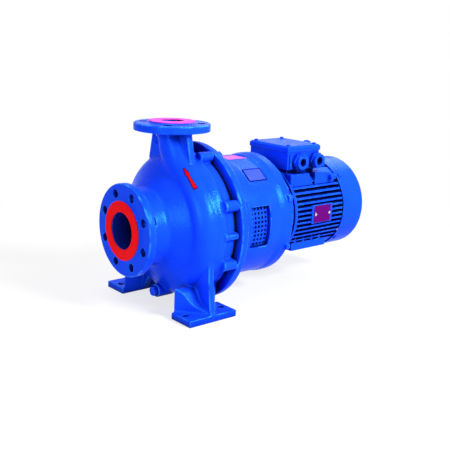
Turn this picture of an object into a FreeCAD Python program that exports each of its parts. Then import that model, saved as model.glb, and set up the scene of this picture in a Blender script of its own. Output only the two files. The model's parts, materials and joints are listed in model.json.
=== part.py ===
"""Close-coupled end-suction circulating pump with its electric motor, in millimetres.

Every sub-part is a body of its own.  Inside a body X runs along the shaft from the
suction face towards the motor, Z is up and the shaft axis is Z = 0.  Each body is placed
so that the origin of the whole part is the centre of the four foot bolts on the floor.
"""
import FreeCAD
import Part
import Sketcher
import math
import os

os.makedirs("parts", exist_ok=True)
doc = FreeCAD.newDocument("circulating_pump")
sheet = doc.addObject("Spreadsheet::Sheet", "Dims")
made_parts = []


class Size:
    """A number that also carries the formula which binds it to the sheet."""

    def __init__(self, value, formula):
        self.value = float(value)
        self.formula = formula

    def __float__(self):
        return self.value

    def __add__(self, other):
        return Size(self.value + float(other), "(%s + %s)" % (self.formula, formula_of(other)))

    def __radd__(self, other):
        return Size(float(other) + self.value, "(%s + %s)" % (formula_of(other), self.formula))

    def __sub__(self, other):
        return Size(self.value - float(other), "(%s - %s)" % (self.formula, formula_of(other)))

    def __rsub__(self, other):
        return Size(float(other) - self.value, "(%s - %s)" % (formula_of(other), self.formula))

    def __mul__(self, other):
        return Size(self.value * float(other), "(%s * %s)" % (self.formula, formula_of(other)))

    def __rmul__(self, other):
        return Size(float(other) * self.value, "(%s * %s)" % (formula_of(other), self.formula))

    def __truediv__(self, other):
        return Size(self.value / float(other), "(%s / %s)" % (self.formula, formula_of(other)))

    def __rtruediv__(self, other):
        return Size(float(other) / self.value, "(%s / %s)" % (formula_of(other), self.formula))

    def __neg__(self):
        return Size(-self.value, "(0 - %s)" % self.formula)


def formula_of(number):
    return number.formula if isinstance(number, Size) else "(%.9f)" % number


def cosine(degrees):
    return Size(math.cos(math.radians(float(degrees))), "cos(%s * 1 deg)" % formula_of(degrees))


def sine(degrees):
    return Size(math.sin(math.radians(float(degrees))), "sin(%s * 1 deg)" % formula_of(degrees))


def root(number):
    return Size(math.sqrt(float(number)), "sqrt(%s)" % formula_of(number))


def arctangent(number):
    return Size(math.degrees(math.atan(float(number))), "(atan(%s) / 1 deg)" % formula_of(number))


def size(name, value):
    """Writes one driving dimension into the sheet and returns it."""
    row = size.rows + 1
    size.rows = row
    sheet.set("A%d" % row, name)
    sheet.set("B%d" % row, str(value))
    sheet.setAlias("B%d" % row, name)
    return Size(value, "Dims.%s" % name)


size.rows = 0

# Main distances and feet, after ISO 2858 for the 80-50-250 pump.
inlet_reach = size("inlet_reach", 125)
shaft_height = size("shaft_height", 180)
outlet_reach = size("outlet_reach", 225)
foot_outer_width = size("foot_outer_width", 320)
foot_bolt_span = size("foot_bolt_span", 250)
foot_bolt_pitch = size("foot_bolt_pitch", 95)
foot_length = size("foot_length", 125)
foot_pad_width = size("foot_pad_width", 65)
foot_thickness = size("foot_thickness", 14)
foot_hole = size("foot_hole", 14)

# Flanges after EN 1092-2, PN 16: DN 80 at the inlet, DN 50 at the outlet.
inlet_bore = size("inlet_bore", 80)
inlet_flange = size("inlet_flange", 200)
inlet_thickness = size("inlet_thickness", 20)
inlet_face = size("inlet_face", 129)
inlet_bolt_circle = size("inlet_bolt_circle", 160)
inlet_bolt_hole = size("inlet_bolt_hole", 18)
inlet_bolt_depth = size("inlet_bolt_depth", 32)
inlet_bolt_count = size("inlet_bolt_count", 8)
outlet_bore = size("outlet_bore", 50)
outlet_flange = size("outlet_flange", 165)
outlet_thickness = size("outlet_thickness", 20)
outlet_face = size("outlet_face", 101)
outlet_bolt_circle = size("outlet_bolt_circle", 125)
outlet_bolt_hole = size("outlet_bolt_hole", 18)
outlet_bolt_count = size("outlet_bolt_count", 4)
face_rise = size("face_rise", 3)
gasket_thickness = size("gasket_thickness", 1.5)

# Volute casing: outer shape along the shaft, then the hollow inside.
neck_radius = size("neck_radius", 84)
neck_end = size("neck_end", 62)
dome_start = size("dome_start", 97)
dome_radius = size("dome_radius", 133)
dome_curve = size("dome_curve", 74)
rim_end = size("rim_end", 152)
rim_radius = size("rim_radius", 163)
back_ring_radius = size("back_ring_radius", 158)
back_ring_end = size("back_ring_end", 177)
cover_bore = size("cover_bore", 140)
chamber_radius = size("chamber_radius", 131)
chamber_back = size("chamber_back", 140)
front_wall_inside = size("front_wall_inside", 101)
scroll_path = size("scroll_path", 124)
scroll_start_radius = size("scroll_start_radius", 9)
scroll_end_radius = size("scroll_end_radius", 24)
scroll_wall = size("scroll_wall", 10)
tongue_angle = size("tongue_angle", 60)
nozzle_radius = size("nozzle_radius", 36)
neck_top = size("neck_top", 240)
neck_tilt = size("neck_tilt", 8)
web_thickness = size("web_thickness", 14)
web_top = size("web_top", 62)
web_foot = size("web_foot", 77)
web_foot_height = size("web_foot_height", 138)
leg_web = size("leg_web", 14)
leg_top = size("leg_top", 66)

# Bolted joint between the casing, its cover and the lantern.
casing_bolt_count = size("casing_bolt_count", 8)
casing_bolt_circle = size("casing_bolt_circle", 330)
casing_bolt = size("casing_bolt", 12)
casing_bolt_length = size("casing_bolt_length", 42)
boss_radius = size("boss_radius", 12)
boss_start = size("boss_start", 148)
lantern_face = size("lantern_face", 183)
cover_rim_radius = size("cover_rim_radius", 152)
cover_front = size("cover_front", 145)
thread_clearance = size("thread_clearance", 0.1)
running_clearance = size("running_clearance", 0.3)
fit_clearance = size("fit_clearance", 0.05)

# Impeller, wear ring and stub shaft.
impeller_radius = size("impeller_radius", 125)
outlet_width = size("outlet_width", 9)
shroud = size("shroud", 4)
eye_radius = size("eye_radius", 46)
land_radius = size("land_radius", 52)
eye_front = size("eye_front", 91)
vane_count = size("vane_count", 6)
vane_thickness = size("vane_thickness", 5)
vane_wrap = size("vane_wrap", 96)
wear_ring_radius = size("wear_ring_radius", 60)
wear_ring_length = size("wear_ring_length", 12)
hub_front = size("hub_front", 103)
hub_back = size("hub_back", 142)
hub_radius = size("hub_radius", 23)
impeller_seat = size("impeller_seat", 28)
stub_diameter = size("stub_diameter", 35)
stub_thread = size("stub_thread", 20)
clamp_diameter = size("clamp_diameter", 60)
key_width = size("key_width", 8)
key_height = size("key_height", 7)
key_length = size("key_length", 26)

# Lantern.
lantern_flange_radius = size("lantern_flange_radius", 177)
lantern_flange = size("lantern_flange", 17)
lantern_radius = size("lantern_radius", 139)
lantern_wall = size("lantern_wall", 10)
lantern_back = size("lantern_back", 365)
lantern_ring_radius = size("lantern_ring_radius", 142)
lantern_ring = size("lantern_ring", 22)
spigot_radius = size("spigot_radius", 90)
window_start = size("window_start", 245)
window_length = size("window_length", 54)
window_height = size("window_height", 92)
guard_sheet = size("guard_sheet", 1.6)
guard_margin = size("guard_margin", 8)
guard_columns = size("guard_columns", 5)
guard_rows = size("guard_rows", 9)
guard_hole = size("guard_hole", 6)
guard_pitch = size("guard_pitch", 9.8)

# Motor, IEC frame size 112.
motor_flange_radius = size("motor_flange_radius", 125)
motor_flange = size("motor_flange", 12)
motor_bolt_circle = size("motor_bolt_circle", 215)
motor_bolt = size("motor_bolt", 12)
frame_start = size("frame_start", 405)
frame_length = size("frame_length", 164)
frame_radius = size("frame_radius", 110)
frame_core = size("frame_core", 92)
frame_bore = size("frame_bore", 84)
fin_pitch = size("fin_pitch", 11.6)
fin_thickness = size("fin_thickness", 4)
fin_rows = size("fin_rows", 6)
cowl_radius = size("cowl_radius", 113)
cowl_length = size("cowl_length", 77)
cowl_sheet = size("cowl_sheet", 2)
rotor_radius = size("rotor_radius", 52)
air_gap = size("air_gap", 0.5)
core_length = size("core_length", 100)
motor_shaft = size("motor_shaft", 28)
motor_shaft_reach = size("motor_shaft_reach", 68)
bearing_bore = size("bearing_bore", 30)
drive_bearing_outer = size("drive_bearing_outer", 72)
drive_bearing_width = size("drive_bearing_width", 19)
rear_bearing_outer = size("rear_bearing_outer", 62)
rear_bearing_width = size("rear_bearing_width", 16)
ball_count = size("ball_count", 8)
fan_radius = size("fan_radius", 84)
fan_blades = size("fan_blades", 7)

# Terminal box.
box_start = size("box_start", 410)
box_length = size("box_length", 105)
box_near = size("box_near", 68)
box_far = size("box_far", 62)
box_bottom = size("box_bottom", 105)
box_height = size("box_height", 41)
box_wall = size("box_wall", 5)
lid_height = size("lid_height", 14)
gland_pitch = size("gland_pitch", 56)
gland_flats = size("gland_flats", 36)
gland_bore = size("gland_bore", 20)

# Smaller sizes of single pieces.
vane_curve = size("vane_curve", 93.5)
casing_screw_grip = size("casing_screw_grip", 25)
cover_gap = size("cover_gap", 1)
drain_face = size("drain_face", 84)
drain_side = size("drain_side", 5)
drain_drop = size("drain_drop", 147)
drain_boss = size("drain_boss", 15)
drain_thread = size("drain_thread", 16)
slinger_place = size("slinger_place", 228)
clamp_screw = size("clamp_screw", 8)
seal_chamber = size("seal_chamber", 34)
seal_seat_back = size("seal_seat_back", 203)
seal_seat_radius = size("seal_seat_radius", 27)
seal_seat_length = size("seal_seat_length", 9)
spring_wire = size("spring_wire", 2.5)
spring_turns = size("spring_turns", 4)
lantern_rear_wall = size("lantern_rear_wall", 12)
ear_angle = size("ear_angle", 23)
ear_radius = size("ear_radius", 9)
plate_angle = size("plate_angle", 128)
guard_screw = size("guard_screw", 5)
fan_seat = size("fan_seat", 24)
cowl_screw = size("cowl_screw", 5)
lid_screw = size("lid_screw", 5)
gland_rise = size("gland_rise", 18)
gland_thread = size("gland_thread", 25)
eye_thread = size("eye_thread", 10)
plate_start = size("plate_start", 467)
plate_length = size("plate_length", 55)
plate_height = size("plate_height", 40)

doc.recompute()


def bind(thing, path, number):
    """Sets a property and keeps it tied to its formula."""
    if isinstance(number, Size):
        thing.setExpression(path, number.formula)
    else:
        thing.setExpression(path, None)


def new_part(label):
    part = doc.addObject("PartDesign::Body", label)
    part.Label = label
    part.AllowCompound = True
    part.Placement = FreeCAD.Placement(
        FreeCAD.Vector(-inlet_reach.value, 0, shaft_height.value), FreeCAD.Rotation())
    bind(part, "Placement.Base.x", -inlet_reach)
    bind(part, "Placement.Base.z", shaft_height)
    made_parts.append(part)
    return part


def new_sketch(part, name, role, across=0, along=0, offset=0, turn=0):
    """A sketch on an origin plane, moved in that plane, lifted off it and turned about its X."""
    sketch = part.newObject("Sketcher::SketchObject", part.Label + "_" + name)
    plane = [item for item in part.Origin.OriginFeatures if item.Role == role][0]
    sketch.AttachmentSupport = [(plane, "")]
    sketch.MapMode = "FlatFace"
    turned_by = FreeCAD.Rotation(FreeCAD.Vector(1, 0, 0), float(turn))
    base = FreeCAD.Vector(float(across), float(along), float(offset))
    if float(turn):
        base = FreeCAD.Vector(float(across), float(along), 0) + turned_by.multVec(
            FreeCAD.Vector(0, 0, float(offset)))
    sketch.AttachmentOffset = FreeCAD.Placement(base, turned_by)
    if isinstance(across, Size):
        bind(sketch, "AttachmentOffset.Base.x", across)
    if isinstance(turn, Size):
        bind(sketch, "AttachmentOffset.Rotation.Angle", turn)
    if float(turn) and (isinstance(offset, Size) or isinstance(along, Size)):
        bind(sketch, "AttachmentOffset.Base.y", along - sine(turn) * offset)
        bind(sketch, "AttachmentOffset.Base.z", cosine(turn) * offset)
    elif not float(turn):
        if isinstance(along, Size):
            bind(sketch, "AttachmentOffset.Base.y", along)
        if isinstance(offset, Size):
            bind(sketch, "AttachmentOffset.Base.z", offset)
    return sketch


def sketch_about(part, name, centre_y, centre_z, angle):
    """A sketch in a plane along the shaft, through a point beside it and turned about it."""
    sketch = new_sketch(part, name, "XY_Plane")
    sketch.AttachmentOffset = FreeCAD.Placement(
        FreeCAD.Vector(0, float(centre_y), float(centre_z)),
        FreeCAD.Rotation(FreeCAD.Vector(1, 0, 0), float(angle)))
    bind(sketch, "AttachmentOffset.Base.y", centre_y)
    bind(sketch, "AttachmentOffset.Base.z", centre_z)
    return sketch


def arc_between(start, end, radius):
    """Arc from start to end; a positive radius turns left, a negative one turns right."""
    chord = end - start
    half = chord.Length / 2
    reach = math.sqrt(max(radius * radius - half * half, 0))
    side = FreeCAD.Vector(-chord.y, chord.x, 0).normalize()
    centre = (start + end) * 0.5 + side * (reach if radius > 0 else -reach)
    circle = Part.Circle(centre, FreeCAD.Vector(0, 0, 1), abs(radius))
    first = start if radius > 0 else end
    last = end if radius > 0 else start
    return Part.ArcOfCircle(circle, circle.parameter(first), circle.parameter(last))


def fix_point(sketch, kept, geometry, vertex, across, along):
    """Constrains one vertex from the sketch origin."""
    for kind, number in (("DistanceX", across), ("DistanceY", along)):
        kept.append((Sketcher.Constraint(kind, -1, 1, geometry, vertex, float(number)), number))


def add_kept(sketch, kept):
    """Adds the collected constraints and ties each to its formula."""
    first = sketch.ConstraintCount
    sketch.addConstraint([item[0] for item in kept])
    for index, item in enumerate(kept):
        if isinstance(item[1], Size):
            sketch.setExpression("Constraints[%d]" % (first + index), item[1].formula)


def draw(sketch, points):
    """Closed outline; a third value in a point is the radius of the arc that arrives there."""
    begin = sketch.GeometryCount
    count = len(points)
    shapes = []
    ends = []
    for index in range(count):
        start = FreeCAD.Vector(float(points[index - 1][0]), float(points[index - 1][1]), 0)
        end = FreeCAD.Vector(float(points[index][0]), float(points[index][1]), 0)
        if len(points[index]) == 2:
            shapes.append(Part.LineSegment(start, end))
            ends.append((1, 2))
        else:
            radius = float(points[index][2])
            shapes.append(arc_between(start, end, radius))
            ends.append((1, 2) if radius > 0 else (2, 1))
    sketch.addGeometry(shapes)
    kept = []
    for index in range(count):
        before = (index - 1) % count
        kept.append((Sketcher.Constraint("Coincident", begin + before, ends[before][1],
                                         begin + index, ends[index][0]), None))
        fix_point(sketch, kept, begin + index, ends[index][1], points[index][0], points[index][1])
        if len(points[index]) == 3:
            radius = points[index][2]
            positive = radius if float(radius) > 0 else -radius
            kept.append((Sketcher.Constraint("Radius", begin + index, float(positive)), positive))
    add_kept(sketch, kept)


def draw_circle(sketch, across, along, radius):
    index = sketch.GeometryCount
    centre = FreeCAD.Vector(float(across), float(along), 0)
    sketch.addGeometry(Part.Circle(centre, FreeCAD.Vector(0, 0, 1), float(radius)))
    kept = [(Sketcher.Constraint("Radius", index, float(radius)), radius)]
    fix_point(sketch, kept, index, 3, across, along)
    add_kept(sketch, kept)


def draw_box(sketch, left, low, right, high):
    draw(sketch, [(left, low), (right, low), (right, high), (left, high)])


def draw_hexagon(sketch, across, along, flats):
    corner = flats / math.sqrt(3)
    draw(sketch, [(across + corner * math.cos(math.radians(60 * step)),
                   along + corner * math.sin(math.radians(60 * step))) for step in range(6)])


def finish(part, feature):
    part.Tip = feature
    return feature


def revolve(part, name, points, cut=False, axis="H_Axis", role="XZ_Plane", across=0):
    """Turns an outline drawn in the X-Z plane about the shaft axis, or about a vertical axis."""
    sketch = new_sketch(part, name, role, across=across)
    draw(sketch, points)
    kind = "PartDesign::Groove" if cut else "PartDesign::Revolution"
    feature = part.newObject(kind, part.Label + "_" + name + "_turned")
    feature.Profile = sketch
    feature.ReferenceAxis = (sketch, [axis])
    feature.Angle = 360
    return finish(part, feature)


def pad(part, name, sketch, length, back=False, both=False):
    feature = part.newObject("PartDesign::Pad", part.Label + "_" + name + "_pad")
    feature.Profile = sketch
    feature.Length = float(length)
    bind(feature, "Length", length)
    feature.Reversed = back
    feature.Midplane = both
    return finish(part, feature)


def pocket(part, name, sketch, length, back=False, both=False):
    feature = part.newObject("PartDesign::Pocket", part.Label + "_" + name + "_pocket")
    feature.Profile = sketch
    feature.Length = float(length)
    bind(feature, "Length", length)
    feature.Reversed = back
    feature.Midplane = both
    return finish(part, feature)


def loft(part, name, sections, cut=False):
    kind = "PartDesign::SubtractiveLoft" if cut else "PartDesign::AdditiveLoft"
    feature = part.newObject(kind, part.Label + "_" + name + "_loft")
    feature.Profile = sections[0]
    feature.Sections = sections[1:]
    return finish(part, feature)


def around(part, name, feature, count, axis_sketch, axis="N_Axis", angle=360):
    pattern = part.newObject("PartDesign::PolarPattern", part.Label + "_" + name + "_around")
    pattern.Originals = feature if isinstance(feature, list) else [feature]
    pattern.Axis = (axis_sketch, [axis])
    pattern.Angle = angle
    pattern.Occurrences = int(float(count))
    bind(pattern, "Occurrences", count)
    return finish(part, pattern)


def in_a_row(part, name, feature, count, length, axis_sketch, axis):
    pattern = part.newObject("PartDesign::LinearPattern", part.Label + "_" + name + "_row")
    pattern.Originals = feature if isinstance(feature, list) else [feature]
    pattern.Direction = (axis_sketch, [axis])
    pattern.Length = float(length)
    bind(pattern, "Length", length)
    pattern.Occurrences = int(float(count))
    bind(pattern, "Occurrences", count)
    return finish(part, pattern)


def edges_at(shape, places):
    """Names of the circular edges about the shaft that lie at the given (x, radius) places."""
    names = []
    for number, edge in enumerate(shape.Edges, 1):
        curve = edge.Curve
        if not isinstance(curve, Part.Circle) or abs(abs(curve.Axis.x) - 1) > 1e-6:
            continue
        for place in places:
            same_x = abs(curve.Center.x - float(place[0])) < 0.01
            if same_x and abs(curve.Radius - float(place[1])) < 0.01 and abs(curve.Center.y) < 0.01:
                names.append("Edge%d" % number)
    return names


def soften(part, name, places, radius, kind="PartDesign::Fillet"):
    """Rounds or bevels circular edges of the part as it stands."""
    doc.recompute()
    base = part.Tip
    feature = part.newObject(kind, part.Label + "_" + name)
    names = edges_at(base.Shape, places)
    feature.Base = (base, names)
    if kind == "PartDesign::Fillet":
        feature.Radius = float(radius)
        bind(feature, "Radius", radius)
    else:
        feature.Size = float(radius)
        bind(feature, "Size", radius)
    return finish(part, feature)


def screw_along(part, name, head_at, flats, head, shank, reach, across, along, facing=1):
    """A hexagon screw along X: its head grows from head_at in the facing direction."""
    hexagon = new_sketch(part, name + "_head", "YZ_Plane", offset=head_at)
    draw_hexagon(hexagon, across, along, flats)
    first = pad(part, name + "_head", hexagon, head, back=facing < 0)
    circle = new_sketch(part, name + "_shank", "YZ_Plane", offset=head_at)
    draw_circle(circle, across, along, shank / 2)
    second = pad(part, name + "_shank", circle, reach, back=facing > 0)
    return [first, second], hexagon


# Hydraulic end.

def scroll_section(part, name, centre_y, centre_z, angle, reach, radius):
    """Circle in a plane through the scroll, turned about a line parallel to the shaft."""
    sketch = sketch_about(part, name, centre_y, centre_z, angle)
    draw_circle(sketch, inlet_reach, reach, radius)
    return sketch


def scroll_sections(part, name, extra, last_radius):
    """Sections of the scroll from the tongue round the chamber and up into the nozzle."""
    leave = 2 * arctangent(scroll_path / neck_top)
    bend = scroll_path * cosine(leave) / (1 - cosine(leave))
    whole = 180 + tongue_angle.value + leave.value
    steps = 10
    rises = 3
    sections = []
    for step in range(steps + 1):
        angle = tongue_angle.value - whole * step / steps
        share = min(1.0, (tongue_angle.value - angle) / (180 + tongue_angle.value))
        radius = scroll_start_radius + (scroll_end_radius - scroll_start_radius) * share + extra
        sections.append(scroll_section(part, "%s_%d" % (name, step), 0, 0, angle,
                                       scroll_path, radius))
    for step in range(1, rises + 1):
        share = step / rises
        angle = -180 - neck_tilt.value - (leave.value - neck_tilt.value) * (1 - share)
        radius = (scroll_end_radius + extra) * (1 - share) + last_radius * share
        sections.append(scroll_section(part, "%s_rise_%d" % (name, step), -bend, neck_top,
                                       angle, -bend, radius))
    return sections


def leg_outlines(part):
    """Sloping wedge on each side of the pump, cut back so that the bolt heads have room."""
    floor = -shaft_height
    inner = foot_outer_width / 2 - foot_pad_width
    toe = foot_outer_width / 2 - 2
    start = inlet_reach - foot_length / 2 + 1
    slope = new_sketch(part, "leg_slope", "YZ_Plane", offset=start)
    for side in (-1, 1):
        draw(slope, [(inner * side, floor),
                     (inner * side, floor + leg_top),
                     ((inner + 17) * side, floor + leg_top - 14, -side * 25),
                     (toe * side, floor + foot_thickness + 5, side * 60),
                     (toe * side, floor)])
    pad(part, "leg_slope", slope, foot_length - 16)
    plan = new_sketch(part, "leg_plan", "XY_Plane", offset=floor)
    for side in (-1, 1):
        for end in (-1, 1):
            near = inlet_reach + end * leg_web / 2
            far = inlet_reach + end * (foot_length / 2 + 5)
            draw(plan, [(near, (toe - 6) * side), (near, (toe + 5) * side),
                        (far, (toe + 5) * side), (far, (inner - 12) * side)])
    pocket(part, "leg_plan", plan, leg_top + 2, back=True)


def feet(part):
    floor = -shaft_height
    inner = foot_outer_width / 2 - foot_pad_width
    outer = foot_outer_width / 2
    plates = new_sketch(part, "foot_plates", "XY_Plane", offset=floor)
    webs = new_sketch(part, "leg_webs", "YZ_Plane", offset=inlet_reach - leg_web / 2)
    for side in (-1, 1):
        draw_box(plates, inlet_reach - foot_length / 2, inner * side,
                 inlet_reach + foot_length / 2, outer * side)
        draw(webs, [((inner - 30) * side, floor + 50), (inner * side, floor + 2),
                    ((outer - 2) * side, floor + 2), ((outer - 10) * side, floor + 79),
                    ((outer - 14) * side, floor + 145)])
    pad(part, "foot_plates", plates, foot_thickness)
    pad(part, "leg_webs", webs, leg_web)


def casing_outside(part):
    """Suction flange, neck, domed front wall, rim and back ring as one turned body."""
    neck_fillet = 6
    edge = 2
    revolve(part, "outside", [
        (0, 0),
        (0, inlet_face / 2),
        (face_rise, inlet_face / 2),
        (face_rise, inlet_flange / 2 - edge),
        (face_rise + edge, inlet_flange / 2, -edge),
        (inlet_thickness - edge, inlet_flange / 2),
        (inlet_thickness, inlet_flange / 2 - edge, -edge),
        (inlet_thickness, neck_radius + neck_fillet),
        (inlet_thickness + neck_fillet, neck_radius, neck_fillet),
        (neck_end, neck_radius),
        (dome_start, dome_radius),
        (rim_end - edge, rim_radius, -dome_curve),
        (rim_end, rim_radius - edge, -edge),
        (rim_end, back_ring_radius),
        (back_ring_end - edge, back_ring_radius),
        (back_ring_end, back_ring_radius - edge, -edge),
        (back_ring_end, 0)])
    soften(part, "neck_curve", [(neck_end, neck_radius)], 14)


def casing_nozzle(part):
    """Discharge flange, and the webs that tie it to the casing on both sides of the neck."""
    top = outlet_reach - outlet_thickness
    edge = 2
    revolve(part, "nozzle", [
        (0, top - 14),
        (nozzle_radius - 2, top - 14),
        (nozzle_radius + 8, top, -12),
        (outlet_flange / 2 - edge, top),
        (outlet_flange / 2, top + edge, edge),
        (outlet_flange / 2, outlet_reach - face_rise - edge),
        (outlet_flange / 2 - edge, outlet_reach - face_rise, edge),
        (outlet_face / 2, outlet_reach - face_rise),
        (outlet_face / 2, outlet_reach),
        (0, outlet_reach)], axis="V_Axis", across=inlet_reach)
    webs = new_sketch(part, "nozzle_webs", "YZ_Plane", offset=inlet_reach - web_thickness / 2)
    for side in (-1, 1):
        draw(webs, [(5 * side, dome_radius), (5 * side, top + 2), (web_top * side, top + 2),
                    (web_foot * side, web_foot_height), ((web_foot - 17) * side, dome_radius - 10)])
    pad(part, "nozzle_webs", webs, web_thickness)
    recess = new_sketch(part, "web_recess", "YZ_Plane", offset=inlet_reach - web_thickness / 2)
    draw(recess, [(web_top - 34, top - 2), (web_top - 34, top - 26),
                  (web_top - 6, top - 26, 15), (web_top - 6, top - 2)])
    pocket(part, "web_recess", recess, 4, back=True)


def casing_bosses(part):
    """Bosses for the casing screws, a lug on each side and the boss of the drain plug."""
    bosses = new_sketch(part, "bosses", "YZ_Plane", offset=boss_start)
    half_step = 180 / casing_bolt_count
    draw_circle(bosses, casing_bolt_circle / 2 * cosine(half_step),
                casing_bolt_circle / 2 * sine(half_step), boss_radius)
    around(part, "bosses", pad(part, "bosses", bosses, lantern_face - boss_start),
           casing_bolt_count, bosses)
    lugs = new_sketch(part, "side_lugs", "YZ_Plane", offset=back_ring_end - 16)
    for side in (-1, 1):
        draw_box(lugs, (back_ring_radius - 10) * side, -5, (back_ring_radius + 10) * side, 5)
    pad(part, "side_lugs", lugs, 16)
    drain = new_sketch(part, "drain_boss", "YZ_Plane", offset=drain_face)
    draw_circle(drain, -drain_side, -drain_drop, drain_boss)
    pad(part, "drain_boss", drain, inlet_reach - drain_face)


def casing_inside(part):
    """Suction bore, seat of the wear ring, impeller chamber, cover register and scroll."""
    wear_back = eye_front - 1.5 + wear_ring_length
    revolve(part, "inside", [
        (-1, 0),
        (-1, inlet_bore / 2),
        (neck_end, inlet_bore / 2),
        (eye_front - 1.5, eye_radius + 0.5),
        (eye_front - 1.5, wear_ring_radius),
        (wear_back, wear_ring_radius),
        (wear_back, wear_ring_radius + 4),
        (front_wall_inside, wear_ring_radius + 8),
        (front_wall_inside, chamber_radius - 20),
        (front_wall_inside + 6, chamber_radius),
        (chamber_back, chamber_radius),
        (chamber_back, cover_bore),
        (back_ring_end + 20, cover_bore),
        (back_ring_end + 20, 0)], cut=True)
    loft(part, "scroll_inside", scroll_sections(part, "passage", 0, outlet_bore / 2), cut=True)
    revolve(part, "outlet", [
        (0, outlet_reach - outlet_thickness - 1),
        (outlet_bore / 2, outlet_reach - outlet_thickness - 1),
        (outlet_bore / 2, outlet_reach + 1),
        (0, outlet_reach + 1)], cut=True, axis="V_Axis", across=inlet_reach)


def casing_holes(part):
    inlet = new_sketch(part, "inlet_holes", "YZ_Plane")
    half_step = 180 / inlet_bolt_count
    draw_circle(inlet, inlet_bolt_circle / 2 * cosine(half_step),
                inlet_bolt_circle / 2 * sine(half_step), inlet_bolt_hole / 2)
    around(part, "inlet_holes", pocket(part, "inlet_holes", inlet, inlet_bolt_depth, back=True),
           inlet_bolt_count, inlet)
    outlet = new_sketch(part, "outlet_holes", "XY_Plane", across=inlet_reach, offset=outlet_reach)
    half_step = 180 / outlet_bolt_count
    draw_circle(outlet, outlet_bolt_circle / 2 * cosine(half_step),
                outlet_bolt_circle / 2 * sine(half_step), outlet_bolt_hole / 2)
    around(part, "outlet_holes", pocket(part, "outlet_holes", outlet, outlet_thickness + 1),
           outlet_bolt_count, outlet)
    foot = new_sketch(part, "foot_holes", "XY_Plane", offset=-shaft_height)
    for side in (-1, 1):
        for end in (-1, 1):
            draw_circle(foot, inlet_reach + end * foot_bolt_pitch / 2,
                        foot_bolt_span / 2 * side, foot_hole / 2)
    pocket(part, "foot_holes", foot, foot_thickness + 1, back=True)
    screws = new_sketch(part, "screw_holes", "YZ_Plane", offset=lantern_face)
    half_step = 180 / casing_bolt_count
    draw_circle(screws, casing_bolt_circle / 2 * cosine(half_step),
                casing_bolt_circle / 2 * sine(half_step), casing_bolt / 2 + thread_clearance)
    around(part, "screw_holes", pocket(part, "screw_holes", screws, casing_screw_grip + 5),
           casing_bolt_count, screws)
    drain = new_sketch(part, "drain_hole", "YZ_Plane", offset=drain_face)
    draw_circle(drain, -drain_side, -drain_drop, drain_thread / 2 + thread_clearance)
    pocket(part, "drain_hole", drain, 22, back=True)


def volute_casing():
    part = new_part("volute_casing")
    leg_outlines(part)
    feet(part)
    casing_outside(part)
    loft(part, "scroll_outside", scroll_sections(part, "bulge", scroll_wall, nozzle_radius))
    casing_nozzle(part)
    casing_bosses(part)
    casing_inside(part)
    casing_holes(part)
    return part


def face_ring(label, points, **turning):
    part = new_part(label)
    revolve(part, "ring", points, **turning)
    return part


def face_rings():
    """Red protective rings on the raised faces of both flanges."""
    face_ring("suction_gasket", [
        (0, inlet_bore / 2), (0, inlet_face / 2 - 1),
        (-gasket_thickness, inlet_face / 2 - 1), (-gasket_thickness, inlet_bore / 2)])
    face_ring("discharge_gasket", [
        (outlet_bore / 2, outlet_reach), (outlet_face / 2 - 1, outlet_reach),
        (outlet_face / 2 - 1, outlet_reach + gasket_thickness),
        (outlet_bore / 2, outlet_reach + gasket_thickness)], axis="V_Axis", across=inlet_reach)


def drain_plug():
    part = new_part("drain_plug")
    screw_along(part, "plug", drain_face, 19, 9, drain_thread, 20, -drain_side, -drain_drop,
                facing=-1)
    return part


def wear_ring():
    part = new_part("wear_ring")
    start = eye_front - 1.5
    revolve(part, "ring", [
        (start, land_radius + running_clearance),
        (start, wear_ring_radius - fit_clearance),
        (start + wear_ring_length, wear_ring_radius - fit_clearance),
        (start + wear_ring_length, land_radius + running_clearance)])
    return part


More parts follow.
